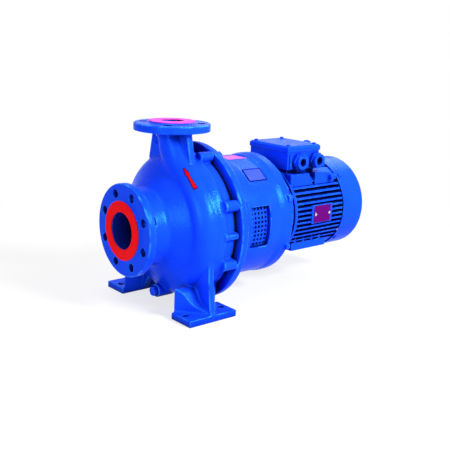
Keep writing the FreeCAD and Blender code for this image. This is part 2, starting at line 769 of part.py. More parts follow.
def impeller():
    """Closed impeller: backward-curved vanes between a front and a back shroud."""
    part = new_part("impeller")
    middle = inlet_reach
    half = outlet_width / 2
    inner = eye_radius + 4
    outer = impeller_radius - 0.5
    thick_in = 2 * arctangent(vane_thickness / 2 / inner)
    thick_out = 2 * arctangent(vane_thickness / 2 / outer)
    blades = new_sketch(part, "vanes", "YZ_Plane", offset=middle - 40)
    draw(blades, [
        (inner * cosine(thick_in), -inner * sine(thick_in)),
        (outer * cosine(vane_wrap - thick_out), outer * sine(vane_wrap - thick_out),
         vane_curve + vane_thickness / 2),
        (outer * cosine(vane_wrap), outer * sine(vane_wrap)),
        (inner, 0, -(vane_curve - vane_thickness / 2))])
    around(part, "vanes", pad(part, "vanes", blades, 55), vane_count, blades)
    revolve(part, "front_trim", [
        (middle - 50, inner - 6), (middle - 22, inner - 6), (middle - 20, inner),
        (middle - 15.5, inner + 10), (middle - 11, impeller_radius - 40),
        (middle - half - 2, impeller_radius + 2), (middle - 50, impeller_radius + 2)], cut=True)
    revolve(part, "back_trim", [
        (middle + half + 2, impeller_radius + 2), (middle + 8, inner + 10),
        (middle + 8, inner - 6), (middle + 30, inner - 6),
        (middle + 30, impeller_radius + 2)], cut=True)
    revolve(part, "front_shroud", [
        (eye_front, eye_radius),
        (middle - 22, eye_radius + 0.5),
        (middle - 14, eye_radius + 10),
        (middle - 9, impeller_radius - 40),
        (middle - half, impeller_radius),
        (middle - half - shroud, impeller_radius),
        (middle - 9 - shroud, impeller_radius - 40),
        (middle - 15 - shroud, land_radius + 9),
        (middle - 20.5, land_radius),
        (eye_front, land_radius)])
    revolve(part, "back_shroud", [
        (hub_front, impeller_seat / 2 + fit_clearance),
        (hub_front, hub_radius - 3),
        (middle - 10, hub_radius),
        (middle + 1, hub_radius + 12),
        (middle + 6, impeller_radius - 62),
        (middle + half, impeller_radius),
        (middle + half + shroud, impeller_radius),
        (middle + 11, impeller_radius - 62),
        (hub_back - 4, hub_radius + 7),
        (hub_back, hub_radius + 2),
        (hub_back, impeller_seat / 2 + fit_clearance)])
    keyway = new_sketch(part, "keyway", "YZ_Plane", offset=hub_front - 1)
    draw_box(keyway, -key_width / 2 - fit_clearance, 0,
             key_width / 2 + fit_clearance, impeller_seat / 2 + key_height / 2 + running_clearance)
    pocket(part, "keyway", keyway, hub_back - hub_front + 2, back=True)
    return part


def impeller_fastening():
    """Key in the stub shaft, washer and nut in front of the hub."""
    key = new_part("impeller_key")
    block = new_sketch(key, "block", "XY_Plane", offset=impeller_seat / 2 - key_height / 2)
    draw_box(block, hub_front + 6, -key_width / 2, hub_front + 6 + key_length, key_width / 2)
    pad(key, "block", block, key_height)
    washer = new_part("impeller_washer")
    revolve(washer, "disc", [
        (hub_front, stub_thread / 2 + thread_clearance), (hub_front, hub_radius - 4),
        (hub_front - 2, hub_radius - 4), (hub_front - 2, stub_thread / 2 + thread_clearance)])
    nut = new_part("impeller_nut")
    body = new_sketch(nut, "hexagon", "YZ_Plane", offset=hub_front - 2)
    draw_hexagon(body, 0, 0, 1.5 * stub_thread)
    pad(nut, "hexagon", body, 0.6 * stub_thread, back=True)
    revolve(nut, "nose", [
        (hub_front - 2 - 0.6 * stub_thread, 0),
        (hub_front - 2 - 0.6 * stub_thread, 0.6 * stub_thread),
        (hub_front - 2 - 0.9 * stub_thread, 0.3 * stub_thread, 0.6 * stub_thread),
        (hub_front - 2 - 0.9 * stub_thread, 0)])
    bore = new_sketch(nut, "bore", "YZ_Plane", offset=hub_front - 2)
    draw_circle(bore, 0, 0, stub_thread / 2 + thread_clearance)
    pocket(nut, "bore", bore, 0.6 * stub_thread)


def stub_shaft():
    """Shaft that is clamped on the motor shaft and carries the seal and the impeller."""
    part = new_part("stub_shaft")
    socket = lantern_back - motor_shaft_reach
    revolve(part, "shaft", [
        (hub_front - 2 - 0.55 * stub_thread, 0),
        (hub_front - 2 - 0.55 * stub_thread, stub_thread / 2),
        (hub_front, stub_thread / 2),
        (hub_front, impeller_seat / 2),
        (hub_back, impeller_seat / 2),
        (hub_back, stub_diameter / 2),
        (slinger_place, stub_diameter / 2),
        (slinger_place, stub_diameter / 2 + 12),
        (slinger_place + 4, stub_diameter / 2 + 12),
        (slinger_place + 4, stub_diameter / 2 + 2),
        (socket - 20, stub_diameter / 2 + 4),
        (socket - 10, clamp_diameter / 2),
        (lantern_back - 14, clamp_diameter / 2),
        (lantern_back - 14, motor_shaft / 2 + fit_clearance),
        (socket - 5, motor_shaft / 2 + fit_clearance),
        (socket - 5, 0)])
    keyway = new_sketch(part, "keyway", "XY_Plane",
                        offset=impeller_seat / 2 - key_height / 2)
    draw_box(keyway, hub_front + 6, -key_width / 2, hub_front + 6 + key_length, key_width / 2)
    pocket(part, "keyway", keyway, key_height, back=True)
    holes = new_sketch(part, "screw_holes", "XY_Plane")
    for place in (socket + 18, socket + 38):
        draw_circle(holes, place, 0, clamp_screw / 2 + thread_clearance)
    around(part, "screw_holes", pocket(part, "screw_holes", holes, clamp_diameter, back=True),
           2, holes, axis="H_Axis", angle=180)
    screws = new_part("clamp_screws")
    stems = new_sketch(screws, "stems", "XY_Plane", offset=motor_shaft / 2 + 0.1)
    for place in (socket + 18, socket + 38):
        draw_circle(stems, place, 0, clamp_screw / 2)
    ring = new_sketch(screws, "axis", "YZ_Plane")
    draw_circle(ring, 0, 0, clamp_diameter)
    around(screws, "stems", pad(screws, "stems", stems, (clamp_diameter - motor_shaft) / 2 - 2),
           2, ring)
    return part


def casing_cover():
    """Cover between the casing and the lantern, with the chamber of the shaft seal."""
    part = new_part("casing_cover")
    rim = back_ring_end + cover_gap
    revolve(part, "cover", [
        (cover_front, stub_diameter / 2 + 7),
        (cover_front, cover_bore - fit_clearance),
        (rim, cover_bore - fit_clearance),
        (rim, cover_rim_radius),
        (lantern_face, cover_rim_radius),
        (lantern_face, cover_bore - 8),
        (cover_front + 18, cover_bore - 22),
        (cover_front + 12, seal_chamber + 42),
        (cover_front + 20, seal_chamber + 18),
        (seal_seat_back + 4, seal_chamber + 9),
        (seal_seat_back + 4, stub_diameter / 2 + 3),
        (seal_seat_back, stub_diameter / 2 + 3),
        (seal_seat_back, seal_seat_radius + fit_clearance),
        (seal_seat_back - seal_seat_length, seal_seat_radius + fit_clearance),
        (seal_seat_back - seal_seat_length, seal_chamber),
        (cover_front + 8, seal_chamber),
        (cover_front + 8, stub_diameter / 2 + 7)])
    gasket = new_part("cover_gasket")
    revolve(gasket, "ring", [
        (back_ring_end, cover_bore + 1), (back_ring_end, cover_rim_radius),
        (rim, cover_rim_radius), (rim, cover_bore + 1)])
    return part


def shaft_seal():
    """Stationary seat, rotating face, spring and drive collar of the mechanical seal."""
    face = seal_seat_back - seal_seat_length
    shaft = stub_diameter / 2
    seat = new_part("seal_seat")
    revolve(seat, "ring", [
        (face, shaft + 3), (face, seal_seat_radius), (seal_seat_back, seal_seat_radius),
        (seal_seat_back, shaft + 3)])
    ring = new_part("seal_ring")
    revolve(ring, "ring", [
        (face - 6, shaft + fit_clearance), (face - 6, shaft + 9.5), (face - 2, shaft + 9.5),
        (face - 2, shaft + 7), (face, shaft + 7), (face, shaft + fit_clearance)])
    collar = new_part("seal_collar")
    revolve(collar, "collar", [
        (hub_back, shaft + fit_clearance), (hub_back, shaft + 6), (hub_back + 4, shaft + 6),
        (hub_back + 4, shaft + fit_clearance)])
    spring = new_part("seal_spring")
    coil = new_sketch(spring, "wire", "XZ_Plane")
    travel = face - 6 - hub_back - 4 - spring_wire - 2 * running_clearance
    start = hub_back + 4 + running_clearance
    draw_box(coil, start, shaft + 3.5 - spring_wire / 2, start + spring_wire,
             shaft + 3.5 + spring_wire / 2)
    helix = spring.newObject("PartDesign::AdditiveHelix", "seal_spring_coil")
    helix.Profile = coil
    helix.ReferenceAxis = (coil, ["H_Axis"])
    helix.Mode = 0
    helix.Pitch = float(travel / spring_turns)
    helix.Height = float(travel)
    bind(helix, "Pitch", travel / spring_turns)
    bind(helix, "Height", travel)
    finish(spring, helix)


# Lantern between the pump and the motor.

def flat_on(part, name, angle, level, start, end, half_width, height):
    """Cuts a flat into the outside of the part, square to the direction at the angle."""
    sketch = new_sketch(part, name, "XY_Plane", offset=level, turn=angle - 90)
    draw_box(sketch, start, -half_width, end, half_width)
    pocket(part, name, sketch, height, back=True)
    return sketch


def lantern():
    part = new_part("lantern")
    inside = lantern_radius - lantern_wall
    end = lantern_back - lantern_ring
    revolve(part, "shell", [
        (lantern_face, inside),
        (lantern_face, lantern_flange_radius - 2),
        (lantern_face + 2, lantern_flange_radius, -2),
        (lantern_face + lantern_flange - 2, lantern_flange_radius),
        (lantern_face + lantern_flange, lantern_flange_radius - 2, -2),
        (lantern_face + lantern_flange, lantern_radius + 6),
        (lantern_face + lantern_flange + 6, lantern_radius, 6),
        (end - 14, lantern_radius),
        (end, lantern_ring_radius),
        (lantern_back - 2, lantern_ring_radius),
        (lantern_back, lantern_ring_radius - 2, -2),
        (lantern_back, spigot_radius),
        (lantern_back - lantern_rear_wall, spigot_radius),
        (lantern_back - lantern_rear_wall, inside - 6),
        (lantern_back - lantern_rear_wall - 6, inside, 6)])
    ears = new_sketch(part, "ears", "YZ_Plane", offset=lantern_back - 12)
    for side in (-1, 1):
        for level in (-1, 1):
            draw_circle(ears, side * lantern_ring_radius * cosine(ear_angle),
                        level * lantern_ring_radius * sine(ear_angle), ear_radius)
    pad(part, "ears", ears, 10)
    doc.recompute()
    window = new_sketch(part, "windows", "XZ_Plane")
    draw_box(window, window_start, -window_height / 2, window_start + window_length,
             window_height / 2)
    pocket(part, "windows", window, 3 * lantern_radius, both=True)
    flat_start = window_start + 17
    flat_end = flat_start + 62
    flat_on(part, "top_flat", 90, lantern_radius - 4.5, flat_start, flat_end, 60, 20)
    flat_on(part, "side_flat", 110, lantern_radius - 4, flat_start, flat_end, 24, 20)
    flat_on(part, "plate_flat", plate_angle, lantern_radius - 3.5, flat_start, flat_end, 34, 20)
    half_step = 180 / casing_bolt_count
    holes = new_sketch(part, "screw_holes", "YZ_Plane", offset=lantern_face)
    draw_circle(holes, casing_bolt_circle / 2 * cosine(half_step),
                casing_bolt_circle / 2 * sine(half_step), casing_bolt / 2 + 0.5)
    around(part, "screw_holes", pocket(part, "screw_holes", holes, lantern_flange, back=True),
           casing_bolt_count, holes)
    motor = new_sketch(part, "motor_holes", "YZ_Plane", offset=lantern_back)
    draw_circle(motor, motor_bolt_circle / 2 * cosine(45), motor_bolt_circle / 2 * sine(45),
                motor_bolt / 2 + thread_clearance)
    around(part, "motor_holes", pocket(part, "motor_holes", motor, lantern_rear_wall + 1),
           4, motor)
    guard = new_sketch(part, "guard_holes", "XZ_Plane")
    for place in guard_screw_places():
        draw_circle(guard, place, 0, guard_screw / 2 + thread_clearance)
    pocket(part, "guard_holes", guard, 2 * (inside + 6), both=True)
    return part


def guard_screw_places():
    return (window_start - guard_margin / 2, window_start + window_length + guard_margin / 2)


def window_guard(label, side):
    """Perforated sheet that lies against the inside of the lantern behind a window."""
    part = new_part(label)
    outside = lantern_radius - lantern_wall - 0.1
    half_height = window_height / 2 + guard_margin
    half_angle = arctangent(half_height / root(outside * outside - half_height * half_height))
    sketch = new_sketch(part, "sheet", "XY_Plane", turn=0)
    draw_box(sketch, window_start - guard_margin, side * (outside - guard_sheet),
             window_start + window_length + guard_margin, side * outside)
    sheet_turned = part.newObject("PartDesign::Revolution", label + "_sheet_turned")
    sheet_turned.Profile = sketch
    sheet_turned.ReferenceAxis = (sketch, ["H_Axis"])
    sheet_turned.Angle = 2 * half_angle.value
    bind(sheet_turned, "Angle", 2 * half_angle)
    sheet_turned.Midplane = True
    finish(part, sheet_turned)
    column = new_sketch(part, "column", "XZ_Plane")
    first = window_start + window_length / 2 - guard_pitch * (guard_columns - 1) / 2
    rows = int(guard_rows.value)
    for row in range(rows):
        along = guard_pitch * (row - (rows - 1) / 2)
        draw_box(column, first - guard_hole / 2, along - guard_hole / 2,
                 first + guard_hole / 2, along + guard_hole / 2)
    in_a_row(part, "columns", pocket(part, "column", column, 2 * lantern_radius, both=True),
             guard_columns, guard_pitch * (guard_columns - 1), column, "H_Axis")
    screws = new_sketch(part, "screw_holes", "XZ_Plane")
    for place in guard_screw_places():
        draw_circle(screws, place, 0, guard_screw / 2 + running_clearance)
    pocket(part, "screw_holes", screws, 2 * lantern_radius, both=True)
    return part


def guards():
    window_guard("guard_near", -1)
    window_guard("guard_far", 1)
    screws = new_part("guard_screws")
    inside = lantern_radius - lantern_wall - 0.1 - guard_sheet
    for side in (-1, 1):
        heads = new_sketch(screws, "heads_%d" % side, "XZ_Plane",
                           offset=-side * (inside - 0.4 - guard_screw * 0.6))
        stems = new_sketch(screws, "stems_%d" % side, "XZ_Plane",
                           offset=-side * (inside - 0.4 - guard_screw * 0.6))
        for place in guard_screw_places():
            draw_circle(heads, place, 0, guard_screw)
            draw_circle(stems, place, 0, guard_screw / 2)
        pad(screws, "heads_%d" % side, heads, guard_screw * 0.6, back=side > 0)
        pad(screws, "stems_%d" % side, stems, guard_screw * 0.6 + 6, back=side > 0)


def lantern_plates():
    """Bare name plate on the near flat and a coloured label on the top flat."""
    start = window_start + 23
    plate = new_part("pump_nameplate")
    sheet_sketch = new_sketch(plate, "sheet", "XY_Plane", offset=lantern_radius - 3.5,
                              turn=plate_angle - 90)
    draw_box(sheet_sketch, start, -17, start + 50, 17)
    pad(plate, "sheet", sheet_sketch, 0.8)
    label = new_part("top_label")
    label_sketch = new_sketch(label, "sheet", "XY_Plane", offset=lantern_radius - 4.5)
    draw_box(label_sketch, start - 2, -26, start + 24, 20)
    pad(label, "sheet", label_sketch, 0.5)


def casing_bolts():
    part = new_part("casing_bolts")
    half_step = 180 / casing_bolt_count
    features, hexagon = screw_along(
        part, "screw", lantern_face + lantern_flange, 18, 7.5, casing_bolt,
        casing_screw_grip + lantern_flange,
        casing_bolt_circle / 2 * cosine(half_step), casing_bolt_circle / 2 * sine(half_step))
    around(part, "screws", features, casing_bolt_count, hexagon)


def motor_bolts():
    part = new_part("motor_flange_bolts")
    features, hexagon = screw_along(
        part, "screw", lantern_back + motor_flange, 18, 7.5, motor_bolt,
        motor_flange + lantern_rear_wall,
        motor_bolt_circle / 2 * cosine(45), motor_bolt_circle / 2 * sine(45))
    around(part, "screws", features, 4, hexagon)



# Motor.

def drive_end_shield():
    part = new_part("drive_end_shield")
    bearing_end = frame_start - 2
    bearing_start = bearing_end - drive_bearing_width - 1
    seat = drive_bearing_outer / 2
    revolve(part, "shield", [
        (bearing_start - 12, bearing_bore / 2 + 1.5),
        (bearing_start - 12, seat + 10),
        (lantern_back - 4, spigot_radius - 20),
        (lantern_back - 4, spigot_radius - fit_clearance),
        (lantern_back, spigot_radius - fit_clearance),
        (lantern_back, motor_flange_radius),
        (lantern_back + motor_flange, motor_flange_radius),
        (lantern_back + motor_flange, frame_core + 3),
        (frame_start - 7, frame_core + 3),
        (frame_start - 3, frame_radius - 5),
        (frame_start, frame_radius - 5),
        (frame_start, frame_bore - fit_clearance),
        (frame_start + 6, frame_bore - fit_clearance),
        (frame_start + 6, frame_bore - 6),
        (frame_start - 2, frame_bore - 6),
        (frame_start - 12, seat + 26),
        (frame_start - 14, seat + 10),
        (bearing_end, seat + 10),
        (bearing_end, seat + fit_clearance),
        (bearing_start, seat + fit_clearance),
        (bearing_start, bearing_bore / 2 + 1.5)])
    holes = new_sketch(part, "flange_holes", "YZ_Plane", offset=lantern_back)
    draw_circle(holes, motor_bolt_circle / 2 * cosine(45), motor_bolt_circle / 2 * sine(45),
                motor_bolt / 2 + 0.5)
    around(part, "flange_holes", pocket(part, "flange_holes", holes, motor_flange, back=True),
           4, holes)


def frame_end():
    return frame_start + frame_length


def motor_frame():
    """Finned housing with the seats of the terminal box, plate pad, rails and eye-bolt boss."""
    part = new_part("motor_frame")
    revolve(part, "tube", [
        (frame_start, frame_bore), (frame_start, frame_radius),
        (frame_end(), frame_radius), (frame_end(), frame_bore)])
    slot = fin_pitch - fin_thickness
    for row in range(int(fin_rows.value) + 1):
        level = fin_pitch * row
        depth = root(frame_core * frame_core - level * level)
        sketch = new_sketch(part, "side_slots_%d" % row, "YZ_Plane", offset=frame_start + 7)
        for side in (-1, 1):
            for height in ((-1, 1) if row else (1,)):
                low = level * height - slot / 2
                draw_box(sketch, depth * side, low, (frame_radius + 5) * side, low + slot)
        pocket(part, "side_slots_%d" % row, sketch, frame_length, back=True)
    for row in range(5):
        place = fin_pitch * row
        depth = root(frame_core * frame_core - place * place)
        sketch = new_sketch(part, "upright_slots_%d" % row, "YZ_Plane", offset=frame_start + 7)
        for side in (-1, 1):
            for across in ((-1, 1) if row else (1,)):
                left = place * across - slot / 2
                draw_box(sketch, left, depth * side, left + slot, (frame_radius + 5) * side)
        pocket(part, "upright_slots_%d" % row, sketch, frame_length, back=True)
    seat = new_sketch(part, "box_seat", "XY_Plane", offset=frame_core - 6)
    draw_box(seat, box_start + 8, -box_far + 4, box_start + box_length - 6, box_far - 4)
    pad(part, "box_seat", seat, box_bottom - frame_core + 6)
    shoulders = new_sketch(part, "shoulders", "XZ_Plane")
    low = box_bottom - 38
    draw(shoulders, [(frame_start + 4, low), (box_start + 74, low), (box_start + 58, box_bottom - 9),
                     (frame_start + 4, box_bottom - 9)])
    draw(shoulders, [(box_start + 81, low), (frame_end() - 12, low), (frame_end() - 12, low + 20),
                     (box_start + 104, box_bottom - 9), (box_start + 81, box_bottom - 9)])
    pad(part, "shoulders", shoulders, 2 * box_near + 32, both=True)
    eye = new_sketch(part, "eye_boss", "XY_Plane", offset=frame_core - 6)
    draw_circle(eye, frame_end() - 28, 0, 15)
    pad(part, "eye_boss", eye, frame_radius - frame_core + 14)
    bosses = new_sketch(part, "side_bosses", "XZ_Plane")
    draw_circle(bosses, frame_end() - 26, low + 15, 7)
    pad(part, "side_bosses", bosses, 2 * box_near + 56, both=True)
    rails = new_sketch(part, "rails", "YZ_Plane", offset=frame_start + 12)
    for side in (-1, 1):
        draw_box(rails, 70 * side, -frame_core + 4, 90 * side, -frame_core + 10)
        draw_box(rails, 58 * side, -frame_core + 10, 90 * side, -frame_core + 22)
    pad(part, "rails", rails, frame_length - 48)
    ribs = new_sketch(part, "rail_ribs", "XY_Plane", offset=-frame_core + 20)
    for step in range(4):
        place = frame_start + 22 + 28 * step
        for side in (-1, 1):
            draw_box(ribs, place, 60 * side, place + 7, 88 * side)
    pad(part, "rail_ribs", ribs, 12)
    flat = new_sketch(part, "box_flat", "XY_Plane", offset=box_bottom)
    draw_box(flat, box_start - 4, -box_near, box_start + box_length + 4, box_near)
    pocket(part, "box_flat", flat, frame_radius, back=True)
    plate = new_sketch(part, "plate_pad", "XZ_Plane")
    draw_box(plate, plate_start - 7, -plate_height / 2 - 2, plate_start + plate_length + 7,
             plate_height / 2 + 2)
    pad(part, "plate_pad", plate, frame_radius + 1)
    revolve(part, "bore", [
        (frame_start - 1, 0), (frame_start - 1, frame_bore),
        (frame_end() + 1, frame_bore), (frame_end() + 1, 0)], cut=True)
    wires = new_sketch(part, "wire_hole", "XY_Plane", offset=box_bottom)
    draw_circle(wires, box_start + box_length / 2, 0, 20)
    pocket(part, "wire_hole", wires, box_bottom - frame_bore + 8)
    thread = new_sketch(part, "eye_hole", "XY_Plane", offset=frame_radius + 8)
    draw_circle(thread, frame_end() - 28, 0, eye_thread / 2 + thread_clearance)
    pocket(part, "eye_hole", thread, 20)


def stator():
    core = new_part("stator_core")
    middle = frame_start + frame_length / 2
    bore = rotor_radius + air_gap
    revolve(core, "stack", [
        (middle - core_length / 2, bore), (middle - core_length / 2, frame_bore - fit_clearance),
        (middle + core_length / 2, frame_bore - fit_clearance), (middle + core_length / 2, bore)])
    winding = new_part("stator_winding")
    for side in (-1, 1):
        face = middle + side * core_length / 2
        revolve(winding, "end_turn_%d" % side, [
            (face, bore + 6), (face, frame_bore - 6), (face + side * 18, frame_bore - 8),
            (face + side * 24, frame_bore - 14), (face + side * 24, bore + 12),
            (face + side * 18, bore + 6)])


def rotor():
    middle = frame_start + frame_length / 2
    shaft = new_part("motor_shaft")
    bearing_end = frame_start - 2
    rear_start = rear_bearing_start()
    revolve(shaft, "shaft", [
        (lantern_back - motor_shaft_reach, 0),
        (lantern_back - motor_shaft_reach, motor_shaft / 2 - 1),
        (lantern_back - motor_shaft_reach + 1, motor_shaft / 2),
        (bearing_end - drive_bearing_width - 8, motor_shaft / 2),
        (bearing_end - drive_bearing_width - 8, bearing_bore / 2),
        (bearing_end - 0.5, bearing_bore / 2),
        (bearing_end - 0.5, bearing_bore / 2 + 4),
        (rear_start, bearing_bore / 2 + 4),
        (rear_start, bearing_bore / 2),
        (rear_start + rear_bearing_width + 1, bearing_bore / 2),
        (rear_start + rear_bearing_width + 1, fan_seat / 2),
        (fan_place() + 24, fan_seat / 2),
        (fan_place() + 24, 0)])
    core = new_part("rotor_core")
    revolve(core, "stack", [
        (middle - core_length / 2 - 10, bearing_bore / 2 + 4 + fit_clearance),
        (middle - core_length / 2 - 10, rotor_radius - 16),
        (middle - core_length / 2 - 10, rotor_radius - 2),
        (middle - core_length / 2, rotor_radius - 2),
        (middle - core_length / 2, rotor_radius),
        (middle + core_length / 2, rotor_radius),
        (middle + core_length / 2, rotor_radius - 2),
        (middle + core_length / 2 + 10, rotor_radius - 2),
        (middle + core_length / 2 + 10, rotor_radius - 16),
        (middle + core_length / 2 + 10, bearing_bore / 2 + 4 + fit_clearance)])
    seal = new_part("shaft_v_ring")
    start = bearing_end - drive_bearing_width - 1 - 12 - 5.5
    revolve(seal, "ring", [
        (start, motor_shaft / 2 + 0.02), (start, motor_shaft / 2 + 4),
        (start + 2.5, motor_shaft / 2 + 4), (start + 5, motor_shaft / 2 + 8),
        (start + 5, motor_shaft / 2 + 6), (start + 3.5, motor_shaft / 2 + 0.02)])


def rear_bearing_start():
    return frame_end() - 3


def fan_place():
    return frame_end() + 22


def bearing(prefix, start, width, outer, ball):
    """Deep-groove ball bearing: outer ring, inner ring and a cage that carries the balls."""
    middle = start + width / 2
    pitch = (outer + bearing_bore) / 4
    shoulder = ball * 0.62
    groove = ball / 2 + 0.05
    deep = root(groove * groove - (groove - 0.38 * ball / 2) * (groove - 0.38 * ball / 2))
    outer_ring = new_part(prefix + "_outer_ring")
    revolve(outer_ring, "ring", [
        (start, pitch + shoulder / 2), (start, outer / 2),
        (start + width, outer / 2), (start + width, pitch + shoulder / 2),
        (middle + deep, pitch + shoulder / 2), (middle - deep, pitch + shoulder / 2, groove)])
    inner_ring = new_part(prefix + "_inner_ring")
    revolve(inner_ring, "ring", [
        (start, bearing_bore / 2 + 0.02), (start, pitch - shoulder / 2),
        (middle - deep, pitch - shoulder / 2), (middle + deep, pitch - shoulder / 2, groove),
        (start + width, pitch - shoulder / 2), (start + width, bearing_bore / 2 + 0.02)])
    cage = new_part(prefix + "_balls")
    rail = 1.2
    revolve(cage, "cage", [
        (middle - ball / 2 - rail, pitch - rail), (middle - ball / 2 - rail, pitch + rail),
        (middle + ball / 2 + rail, pitch + rail), (middle + ball / 2 + rail, pitch - rail)])
    half_step = 180 / ball_count
    opening = new_sketch(cage, "pocket", "XZ_Plane", turn=half_step)
    draw_circle(opening, middle, 0, ball / 2 + 0.1)
    pockets = pocket(cage, "pocket", opening, outer / 2)
    ring_sketch = new_sketch(cage, "axis", "YZ_Plane")
    draw_circle(ring_sketch, 0, 0, pitch)
    around(cage, "pockets", pockets, ball_count, ring_sketch)
    half = sketch_about(cage, "ball", pitch * cosine(half_step), pitch * sine(half_step),
                        half_step.value + 90)
    radius = ball / 2 - 0.1
    pole = 0.8
    cap = root(radius * radius - pole * pole)
    draw(half, [(middle - cap, 0), (middle - cap, pole), (middle + cap, pole, -radius),
                (middle + cap, 0)])
    sphere = cage.newObject("PartDesign::Revolution", prefix + "_ball_turned")
    sphere.Profile = half
    sphere.ReferenceAxis = (half, ["H_Axis"])
    sphere.Angle = 360
    finish(cage, sphere)
    around(cage, "balls", sphere, ball_count, ring_sketch)


def rear_shield():
    part = new_part("rear_shield")
    start = rear_bearing_start()
    seat = rear_bearing_outer / 2
    back = frame_end() + 18
    revolve(part, "shield", [
        (frame_end() - 6, frame_bore - fit_clearance),
        (frame_end(), frame_bore - fit_clearance),
        (frame_end(), frame_radius - 3),
        (frame_end() + 6, frame_radius - 3),
        (frame_end() + 9, seat + 36),
        (back, seat + 9),
        (back, bearing_bore / 2 + 1),
        (start + rear_bearing_width + 1.5, bearing_bore / 2 + 1),
        (start + rear_bearing_width + 1.5, seat + fit_clearance),
        (start, seat + fit_clearance),
        (start, seat + 8),
        (frame_end(), seat + 30),
        (frame_end() - 6, frame_bore - 6)])
    lugs = new_sketch(part, "cowl_lugs", "YZ_Plane", offset=frame_end())
    corner = (cowl_radius - cowl_sheet - 0.3) * cosine(45)
    draw(lugs, [(corner - 25, corner - 15), (corner - 15, corner - 25), (corner + 3.5, corner - 5),
                (corner - 5, corner + 3.5)])
    lug = pad(part, "cowl_lugs", lugs, 20)
    around(part, "cowl_lugs", lug, 4, lugs)
    holes = new_sketch(part, "cowl_holes", "XY_Plane", offset=0, turn=-45)
    draw_circle(holes, frame_end() + 13, 0, cowl_screw / 2 + thread_clearance)
    around(part, "cowl_holes", pocket(part, "cowl_holes", holes, 3 * cowl_radius, both=True), 2,
           holes, axis="H_Axis", angle=90)
    wave = new_part("preload_spring")
    revolve(wave, "ring", [
        (start + rear_bearing_width, seat - 6), (start + rear_bearing_width, seat - 1),
        (start + rear_bearing_width + 1.5, seat - 1), (start + rear_bearing_width + 1.5, seat - 6)])


def cooling_fan():
    fan = new_part("cooling_fan")
    start = fan_place()
    revolve(fan, "hub", [
        (start, fan_seat / 2 + fit_clearance), (start, fan_radius), (start + 2.5, fan_radius),
        (start + 2.5, fan_seat / 2 + 8), (start + 20, fan_seat / 2 + 8),
        (start + 20, fan_seat / 2 + fit_clearance)])
    blade = new_sketch(fan, "blade", "YZ_Plane", offset=start + 2)
    draw_box(blade, fan_seat / 2 + 6, -1, fan_radius - 1, 1)
    around(fan, "blades", pad(fan, "blade", blade, 17), fan_blades, blade)
    clip = new_part("fan_clip")
    revolve(clip, "ring", [
        (start + 20, fan_seat / 2 + 0.02), (start + 20, fan_seat / 2 + 4),
        (start + 21.5, fan_seat / 2 + 4), (start + 21.5, fan_seat / 2 + 0.02)])


def fan_cowl():
    part = new_part("fan_cowl")
    start = frame_end() + 0.5
    end = frame_end() + cowl_length
    inside = cowl_radius - cowl_sheet
    revolve(part, "shell", [
        (start, inside),
        (start, cowl_radius),
        (end - 10, cowl_radius),
        (end, cowl_radius - 10, -10),
        (end, 0),
        (end - cowl_sheet, 0),
        (end - cowl_sheet, cowl_radius - 10),
        (end - 10, inside, 10 - cowl_sheet)])
    slot = new_sketch(part, "air_slot", "YZ_Plane", offset=end + 1)
    draw_box(slot, 26, -3.5, 88, 3.5)
    around(part, "air_slots", pocket(part, "air_slot", slot, cowl_sheet + 2), 16, slot)
    holes = new_sketch(part, "screw_holes", "XY_Plane", offset=0, turn=-45)
    draw_circle(holes, frame_end() + 13, 0, cowl_screw / 2 + running_clearance)
    around(part, "screw_holes", pocket(part, "screw_holes", holes, 3 * cowl_radius, both=True), 2,
           holes, axis="H_Axis", angle=90)
    screws = new_part("cowl_screws")
    head = new_sketch(screws, "head", "XY_Plane", offset=cowl_radius + 0.1, turn=-45)
    draw_circle(head, frame_end() + 13, 0, cowl_screw)
    stem = new_sketch(screws, "stem", "XY_Plane", offset=cowl_radius + 0.1, turn=-45)
    draw_circle(stem, frame_end() + 13, 0, cowl_screw / 2)
    first = pad(screws, "head", head, 2.6)
    second = pad(screws, "stem", stem, 12, back=True)
    ring = new_sketch(screws, "axis", "YZ_Plane")
    draw_circle(ring, 0, 0, cowl_radius)
    around(screws, "screws", [first, second], 4, ring)


